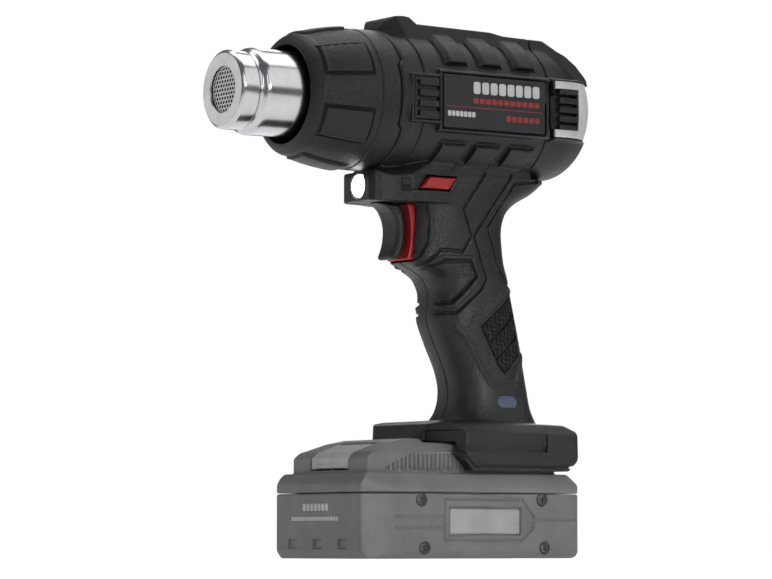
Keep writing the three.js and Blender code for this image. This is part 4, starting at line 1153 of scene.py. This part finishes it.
def badge_field(x, out, z):
    u, v = x - BADGE_X, z - BADGE_Z
    shape = np.hypot(np.maximum(np.abs(u) - 2.8, 0), v) - 2.7
    skin = handle(x, out, z)
    rim = np.abs(shape + 0.7) - 0.35
    face = skin - 0.3 - 0.2 * (1 - step_up(rim, -0.1, 0.3))
    return all_of(shape, face, -skin - 0.8, 2 - out, soft=0.3)


def pill_badge(name, sign):
    """Blank oval badge low on the grip."""
    return one_side(name, badge_field, sign, (42, 12, 67.6), (55, 20, 74.4), 0.22)


def display_glass():
    low, high = ends("display_window")
    return field_mesh("display_pane", lambda x, y, z: block(x, y, z, low, high, 1.0), low, high, 0.3)


SEGMENTS = {"a": (0, 1, 0), "b": (1, 0.5, 1), "c": (1, -0.5, 1), "d": (0, -1, 0),
            "e": (-1, -0.5, 1), "f": (-1, 0.5, 1), "g": (0, 0, 0)}


def display_digits():
    """Three seven-segment digits just behind the glass, showing 450."""
    low, high = ends("display_window")
    shown = ["fgbc", "afgcd", "abcdef"]
    middle_z = (low[2] + high[2]) / 2
    height, width = 2.4, 1.3
    points, faces = [], []
    for place, lit in enumerate(shown):
        centre_y = (place - 1) * 4.6
        for key in lit:
            across, up, upright = SEGMENTS[key]
            cy, cz = centre_y + across * width, middle_z + up * height
            long, thin = (height * 0.42, 0.26) if upright else (width * 0.78, 0.26)
            hexagon = [(-long, 0), (-long + thin, thin), (long - thin, thin), (long, 0),
                       (long - thin, -thin), (-long + thin, -thin)]
            if upright:
                hexagon = [(b, a) for a, b in hexagon][::-1]
            base = len(points)
            for x in (high[0] + 0.01, high[0] + 0.05):
                points += [(x, cy + a, cz + b) for a, b in hexagon]
            faces.append([base + 6 + i for i in range(6)])
            faces.append([base + i for i in reversed(range(6))])
            faces += [[base + i, base + (i + 1) % 6, base + 6 + (i + 1) % 6, base + 6 + i]
                      for i in range(6)]
    return flat_faced("display_digits", points, faces)


# Materials -----------------------------------------------------------------------------------

def new_material(name):
    material = bpy.data.materials.new(name)
    material.use_nodes = True
    tree = material.node_tree
    shader = next(node for node in tree.nodes if node.type == "BSDF_PRINCIPLED")
    return material, tree, shader


def coordinates(tree, stretch=(1, 1, 1)):
    place = tree.nodes.new("ShaderNodeTexCoord")
    mapping = tree.nodes.new("ShaderNodeMapping")
    mapping.inputs["Scale"].default_value = stretch
    tree.links.new(place.outputs["Object"], mapping.inputs["Vector"])
    return mapping.outputs["Vector"]


def noise(tree, where, size, detail=3.0):
    """Noise whose features are about this many millimetres across."""
    node = tree.nodes.new("ShaderNodeTexNoise")
    node.inputs["Scale"].default_value = 1 / (size * MM)
    node.inputs["Detail"].default_value = detail
    node.inputs["Roughness"].default_value = 0.55
    tree.links.new(where, node.inputs["Vector"])
    return node.outputs["Fac"]


def spread(tree, value, low, high, out_low, out_high):
    node = tree.nodes.new("ShaderNodeMapRange")
    limits = {"From Min": low, "From Max": high, "To Min": out_low, "To Max": out_high}
    for key, number in limits.items():
        node.inputs[key].default_value = number
    tree.links.new(value, node.inputs["Value"])
    return node.outputs["Result"]


def blend_colour(tree, amount, first, second):
    node = tree.nodes.new("ShaderNodeMix")
    node.data_type = "RGBA"
    tree.links.new(amount, node.inputs["Factor"])
    for socket, colour in ((node.inputs[6], first), (node.inputs[7], second)):
        if isinstance(colour, tuple):
            socket.default_value = (*colour, 1)
        else:
            tree.links.new(colour, socket)
    return node.outputs[2]


def combine(tree, kind, a, b):
    node = tree.nodes.new("ShaderNodeMath")
    node.operation = kind
    for socket, value in zip(node.inputs, (a, b)):
        if isinstance(value, (int, float)):
            socket.default_value = value
        else:
            tree.links.new(value, socket)
    return node.outputs[0]


def bump(tree, shader, height, depth):
    node = tree.nodes.new("ShaderNodeBump")
    node.inputs["Strength"].default_value = 1
    node.inputs["Distance"].default_value = depth * MM
    tree.links.new(height, node.inputs["Height"])
    tree.links.new(node.outputs["Normal"], shader.inputs["Normal"])


def shade(colour, share, lift=0):
    """The colour made darker or lighter."""
    return tuple(min(1, share * c + lift) for c in colour)


def roughen(tree, shader, value, low, high):
    tree.links.new(spread(tree, value, 0.3, 0.7, low, high), shader.inputs["Roughness"])


def convex_edge_highlight(tree):
    """Painted highlight mask: rises from 0 to 1 on convex edges, broken up by noise."""
    geometry = tree.nodes.new("ShaderNodeNewGeometry")
    edge = spread(tree, geometry.outputs["Pointiness"], 0.52, 0.6, 0, 1)
    patches = spread(tree, noise(tree, coordinates(tree), 4), 0.35, 0.65, 0.3, 1)
    return combine(tree, "MULTIPLY", edge, patches)


def plastic(name, colour, roughness=0.5, grain=0.35, depth=0.02, highlight_amount=0.5, specular=0.5,
            speckle=0.25):
    """Moulded plastic: spark-eroded grain, faint mottling and convex edges lightened by a painted
    highlight.
    """
    material, tree, shader = new_material(name)
    where = coordinates(tree)
    mottle = spread(tree, noise(tree, where, 14), 0.3, 0.7, -0.12, 0.12)
    fine = noise(tree, where, grain, 2.0)
    sparkle = spread(tree, fine, 0.3, 0.7, 0.5 - speckle, 0.5 + speckle)
    base = blend_colour(tree, combine(tree, "ADD", sparkle, mottle), shade(colour, 0.45),
                        shade(colour, 1.55))
    # painted highlight: convex edges are lightened towards a pale copy of the colour, and below they are
    # also made less rough
    painted_highlight = combine(tree, "MULTIPLY", convex_edge_highlight(tree), highlight_amount)
    base = blend_colour(tree, painted_highlight, base, shade(colour, 2.2, 0.03))
    tree.links.new(base, shader.inputs["Base Color"])
    rough = spread(tree, fine, 0.3, 0.7, roughness - 0.09, roughness + 0.09)
    rough = combine(tree, "SUBTRACT", rough, combine(tree, "MULTIPLY", painted_highlight, 0.15))
    tree.links.new(rough, shader.inputs["Roughness"])
    shader.inputs["Specular IOR Level"].default_value = specular
    bump(tree, shader, fine, depth)
    return material


def metal(name, colour, roughness, brush=(1, 1, 1)):
    """Metal with fine directional scratches and smudged roughness."""
    material, tree, shader = new_material(name)
    where = coordinates(tree)
    scratches = noise(tree, coordinates(tree, brush), 0.35, 4.0)
    smudge = noise(tree, where, 7)
    tint = blend_colour(tree, spread(tree, smudge, 0.3, 0.7, 0, 1), shade(colour, 0.9),
                        shade(colour, 1.06))
    tree.links.new(tint, shader.inputs["Base Color"])
    shader.inputs["Metallic"].default_value = 1
    both = combine(tree, "ADD", scratches, smudge)
    rough = spread(tree, both, 0.7, 1.3, roughness, roughness + 0.06)
    tree.links.new(rough, shader.inputs["Roughness"])
    bump(tree, shader, scratches, 0.004)
    return material


def lamp_material():
    material, tree, shader = new_material("frosted_lamp")
    where = coordinates(tree)
    shader.inputs["Base Color"].default_value = (0.9, 0.93, 1, 1)
    roughen(tree, shader, noise(tree, where, 1), 0.1, 0.25)
    glow = blend_colour(tree, spread(tree, noise(tree, where, 2), 0.3, 0.7, 0, 1), (0.85, 0.92, 1.0),
                        (1.0, 1.0, 1.0))
    tree.links.new(glow, shader.inputs["Emission Color"])
    shader.inputs["Emission Strength"].default_value = 7
    return material


def glass_material():
    material, tree, shader = new_material("dark_glass")
    where = coordinates(tree)
    tint = blend_colour(tree, noise(tree, where, 5), (0.008, 0.01, 0.013), (0.02, 0.023, 0.028))
    tree.links.new(tint, shader.inputs["Base Color"])
    roughen(tree, shader, noise(tree, where, 3), 0.05, 0.14)
    shader.inputs["Coat Weight"].default_value = 0.6
    return material


def digit_material():
    material, tree, shader = new_material("lit_digits")
    where = coordinates(tree)
    glow = blend_colour(tree, noise(tree, where, 1), (0.9, 0.95, 1), (1, 1, 1))
    tree.links.new(glow, shader.inputs["Emission Color"])
    shader.inputs["Emission Strength"].default_value = 2
    return material


def board_material():
    """Green solder mask with paler copper tracks under it."""
    material, tree, shader = new_material("solder_mask")
    where = coordinates(tree)
    tracks = tree.nodes.new("ShaderNodeTexBrick")
    tracks.inputs["Scale"].default_value = 120
    tracks.inputs["Mortar Size"].default_value = 0.03
    tracks.inputs["Color1"].default_value = (0.02, 0.12, 0.05, 1)
    tracks.inputs["Color2"].default_value = (0.03, 0.15, 0.06, 1)
    tracks.inputs["Mortar"].default_value = (0.06, 0.25, 0.1, 1)
    tree.links.new(where, tracks.inputs["Vector"])
    tree.links.new(tracks.outputs["Color"], shader.inputs["Base Color"])
    roughen(tree, shader, noise(tree, where, 2), 0.3, 0.5)
    bump(tree, shader, tracks.outputs["Fac"], 0.03)
    return material


def layered(name, colour, roughness):
    """Mica board: thin layers and flecks."""
    material, tree, shader = new_material(name)
    layers = noise(tree, coordinates(tree, (1, 1, 6)), 3)
    flecks = spread(tree, layers, 0.35, 0.65, 0, 1)
    tree.links.new(blend_colour(tree, flecks, shade(colour, 0.7), colour), shader.inputs["Base Color"])
    roughen(tree, shader, layers, roughness, roughness + 0.15)
    bump(tree, shader, layers, 0.05)
    return material


MATERIALS = {
    "shell": plastic("black_moulding", (0.0085, 0.0085, 0.009), 0.43, 0.9, 0.24, 0.5, 0.28, 0.5),
    "soft_black": plastic("dull_black", (0.008, 0.008, 0.0085), 0.45, 0.9, 0.26, 0.45, 0.28, 0.5),
    "grip_rubber": plastic("grip_rubber", (0.006, 0.006, 0.0065), 0.6, 0.8, 0.1, 0.2, 0.2),
    "red_plastic": plastic("red_moulding", (0.24, 0.007, 0.009), 0.42, 0.6, 0.03, 0.3, 0.4, 0.1),
    "chrome_tube": metal("polished_tube", (0.5, 0.505, 0.515), 0.15, (0.25, 6, 6)),
    "bright_steel": metal("plain_steel", (0.5, 0.5, 0.51), 0.3, (4, 1, 1)),
    "silver_trim": plastic("silver_lacquer", (0.42, 0.425, 0.43), 0.34, 0.5, 0.008, 0.3, 0.5, 0.06),
    "label_plate": plastic("grey_plate", (0.016, 0.0165, 0.018), 0.47, 0.5, 0.03, 0.3, 0.25, 0.2),
    "display_glass": glass_material(),
    "lamp_lens": lamp_material(),
    "circuit_board": board_material(),
    "contact_brass": metal("contact_brass", (0.62, 0.45, 0.19), 0.28, (1, 1, 5)),
    "mica_board": layered("mica_board", (0.5, 0.43, 0.3), 0.6),
    "heating_wire": metal("oxidised_wire", (0.28, 0.25, 0.23), 0.45, (3, 1, 1)),
    "cell_wrap": plastic("cell_sleeve", (0.05, 0.17, 0.36), 0.32, 0.8, 0.01, 0.2),
    "pack_shell": plastic("grey_moulding", (0.095, 0.095, 0.098), 0.5, 0.7, 0.06, 0.2, 0.4, 0.12),
    "pack_latch": plastic("light_grey_moulding", (0.27, 0.27, 0.275), 0.5, 0.6, 0.04, 0.2, 0.4, 0.1),
}
WHITE_PRINT = plastic("white_print", (0.42, 0.42, 0.42), 0.4, 0.3, 0.004, 0, 0.5, 0.1)
RED_PRINT = plastic("red_print", (0.2, 0.01, 0.012), 0.4, 0.3, 0.004, 0, 0.5, 0.1)
BLACK_PRINT = plastic("black_print", (0.002, 0.002, 0.002), 0.6, 0.3, 0.004, 0, 0.2, 0.1)
GREY_PRINT = plastic("grey_print", (0.32, 0.32, 0.33), 0.5, 0.3, 0.004, 0, 0.4, 0.1)
BADGE_BLUE = plastic("badge_blue", (0.035, 0.05, 0.085), 0.35, 0.4, 0.01, 0.4, 0.5, 0.1)
PLATE_GREY = plastic("pack_plate_grey", (0.21, 0.21, 0.215), 0.42, 0.5, 0.02, 0.2, 0.5, 0.1)
DARK_STEEL = metal("blackened_steel", (0.08, 0.08, 0.085), 0.4, (4, 1, 1))


# Assembly ------------------------------------------------------------------------------------

def fit(piece, body, slot, *nodes, material=None):
    """Finish a piece: its material, its body, and the frame nodes it stands for."""
    piece.data.materials.clear()
    piece.data.materials.append(material or MATERIALS[slot])
    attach(piece, body)
    if nodes:
        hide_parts(*nodes)


def whole(name, field, node, step=STEP):
    return field_mesh(name, field, *ends(node), step)


def paint_frame():
    """Every node of the frame gets its slot's material, shown or not."""
    slots = {part["node"]: part["material_slot"] for part in frame["record"]["subparts"]}
    for name, node in frame["nodes"].items():
        node.data.materials.clear()
        node.data.materials.append(MATERIALS[slots[name]])


def on_plate(sign):
    """Places marks on the name plate of one side."""
    return lambda u, v, h: (u, sign * (BAND_HALF + 0.02 + h), v)


def on_neck(sign):
    """Places marks on the slanted side of the neck."""
    return lambda u, v, h: (u - 0.4 * h, sign * (20.72 + 0.475 * u + 0.9 * h), v)


def on_pack_front(u, v, h):
    return tray_low[0] - h, u, v


def build_side(hand, sign):
    """Plates, grilles, inlays and marks of one side."""
    label, vent, grip = f"label_{hand}", f"front_vent_{hand}", f"grip_{hand}"
    fit(sided(label + "_plate", label_field, label, sign), "tool", "label_plate", label)
    fit(sided(vent + "_grille", vent_field, vent, sign), "tool", "shell", vent)
    fit(grip_tiles(grip + "_tiles", sign), "tool", "grip_rubber", grip)
    for kind, bars, material in (("white", WHITE_BARS, WHITE_PRINT), ("red", RED_BARS, RED_PRINT)):
        marks = printed(f"{label}_print_{kind}", bars, on_plate(sign))
        fit(marks, "tool", "label_plate", material=material)
    icon = printed(f"padlock_sign_{hand}", PADLOCK, on_neck(sign))
    fit(icon, "tool", "shell", material=BLACK_PRINT)
    fit(pill_badge(f"grip_badge_{hand}", sign), "tool", "shell", material=BADGE_BLUE)


def build_housing():
    fit(housing_half("housing_left", False), "tool", "shell", "housing_left")
    fit(housing_half("housing_right", True), "tool", "shell", "housing_right")
    for hand, sign in SIDES:
        build_side(hand, sign)
    for number in range(1, 5):
        name = f"housing_screw_{number}"
        fit(screw_piece(name), "tool", "bright_steel", name)


def build_hot_end():
    fit(nozzle(), "tool", "chrome_tube", "nozzle_tube")
    fit(whole("outlet_sieve", sieve, "outlet_screen", 0.2), "tool", "bright_steel", "outlet_screen")
    fit(whole("nose_cone_moulding", cone, "nose_cone"), "tool", "soft_black", "nose_cone")


def build_rear():
    fit(whole("rear_cap_moulding", cap, "rear_cap"), "tool", "shell", "rear_cap")
    fit(whole("rear_trim_band", trim_field, "rear_trim", 0.45), "tool", "silver_trim", "rear_trim")
    fit(display_glass(), "tool", "display_glass", "display_window")
    fit(display_digits(), "tool", "display_glass", material=digit_material())
    for name in KEYS:
        fit(key_cap(name), name.replace("button", "key"), "soft_black", name)


def build_controls():
    fit(whole("trigger_grip", pad_field, "trigger_pad", FINE), "trigger", "soft_black", "trigger_pad")
    fit(whole("trigger_slide", slide_field, "trigger_frame", FINE), "trigger", "red_plastic",
        "trigger_frame")
    fit(whole("lock_bolt", lock_piece, "lock_button", FINE), "lock", "red_plastic", "lock_button")
    fit(lamp_lens(), "tool", "lamp_lens", "led_lens")
    coil = spring_coil()
    fit(coil, "tool", "bright_steel", "trigger_spring")
    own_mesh(coil)


def build_pack():
    fit(whole("pack_tray_moulding", tray_field, "battery_tray"), "battery", "pack_shell",
        "battery_tray")
    fit(whole("pack_lid_moulding", lid_field, "battery_lid"), "battery", "pack_shell", "battery_lid")
    fit(whole("pack_release_lever", latch_field, "battery_latch", 0.45), "latch", "pack_latch",
        "battery_latch")
    marks = printed("pack_front_print", PACK_PRINT, on_pack_front)
    fit(marks, "battery", "pack_shell", material=GREY_PRINT)
    for hand, sign in SIDES:
        fit(pack_plate(f"pack_plate_{hand}", sign), "battery", "pack_shell", material=PLATE_GREY)
        for number, (x, z) in enumerate(PACK_SCREWS, 1):
            screw = pack_screw(f"pack_screw_{hand}_{number}", x, z, sign)
            fit(screw, "battery", "bright_steel", material=DARK_STEEL)


# Camera, light and floor ---------------------------------------------------------------------

AZIMUTH, ELEVATION, DISTANCE = -34.36, -3.93, 1.670
LOOK_AT = Vector((-0.0066, 0, 0.1214))
LENS, SENSOR = 172.07, 36


def set_camera():
    azimuth, elevation = math.radians(AZIMUTH), math.radians(ELEVATION)
    back = Vector((math.sin(azimuth) * math.cos(elevation), -math.cos(azimuth) * math.cos(elevation),
                   math.sin(elevation)))
    data = bpy.data.cameras.new("camera")
    data.lens, data.sensor_width = LENS, SENSOR
    camera = link_object("camera", data)
    camera.location = LOOK_AT + back * DISTANCE
    camera.rotation_euler = back.to_track_quat("Z", "Y").to_euler()
    bpy.context.scene.camera = camera


# Name, place, aim, size and watts of each light.
LIGHTS = [
    ("key", (0.75, -1.0, 0.95), (0, 0, 0.15), (1.8, 1.2), 7.5),
    ("left", (-1.1, -1.0, 0.7), (0, 0, 0.15), (1.0, 0.7), 5),
    ("top", (0.05, 0.2, 1.2), (0, 0, 0.15), (1.5, 0.9), 9),
    ("rim", (0.9, 0.9, 0.6), (0, 0, 0.15), (0.6, 1.0), 4.5),
    ("front", (-0.85, 1.25, 0.35), (0, 0, 0.15), (1.2, 1.0), 3.2),
]


def soft_light(name, place, aim, size, power):
    data = bpy.data.lights.new(name, "AREA")
    data.shape = "RECTANGLE"
    data.size, data.size_y = size
    data.energy = power
    light = link_object(name, data)
    light.location = place
    light.rotation_euler = (Vector(place) - Vector(aim)).to_track_quat("Z", "Y").to_euler()
    return light


def floor_sheet():
    """Pale floor that stays near white to its far edge."""
    near, far = -1500, 700
    corners = [(near, near, 0), (far, near, 0), (far, far, 0), (near, far, 0)]
    sheet = flat_faced("floor", corners, [(0, 1, 2, 3)])
    material, tree, shader = new_material("pale_floor")
    dapple = noise(tree, coordinates(tree), 40)
    tint = blend_colour(tree, dapple, (0.7, 0.7, 0.7), (0.74, 0.74, 0.74))
    tree.links.new(tint, shader.inputs["Base Color"])
    tree.links.new(tint, shader.inputs["Emission Color"])
    shader.inputs["Emission Strength"].default_value = 0.75
    shader.inputs["Roughness"].default_value = 0.9
    shader.inputs["Specular IOR Level"].default_value = 0
    sheet.data.materials.append(material)


def studio_world():
    """Dim grey surroundings for the object, and a white backdrop behind it."""
    world = bpy.data.worlds.new("studio")
    world.use_nodes = True
    tree = world.node_tree
    surroundings = tree.nodes["Background"]
    surroundings.inputs["Color"].default_value = (0.16, 0.165, 0.175, 1)
    backdrop = tree.nodes.new("ShaderNodeBackground")
    backdrop.inputs["Color"].default_value = (1, 1, 1, 1)
    path = tree.nodes.new("ShaderNodeLightPath")
    mix = tree.nodes.new("ShaderNodeMixShader")
    tree.links.new(path.outputs["Is Camera Ray"], mix.inputs[0])
    tree.links.new(surroundings.outputs[0], mix.inputs[1])
    tree.links.new(backdrop.outputs[0], mix.inputs[2])
    tree.links.new(mix.outputs[0], tree.nodes["World Output"].inputs["Surface"])
    bpy.context.scene.world = world


def set_stage():
    floor_sheet()
    studio_world()
    bpy.context.scene.view_settings.view_transform = "Standard"
    for light in LIGHTS:
        soft_light(*light)
    foot = soft_light("foot", (0.1, -1.2, 0.3), (0.02, 0, 0.045), (0.25, 0.25), 0.12)
    foot.data.spread = math.radians(16)


paint_frame()
build_hot_end()
build_housing()
build_rear()
build_controls()
build_pack()
set_camera()
set_stage()
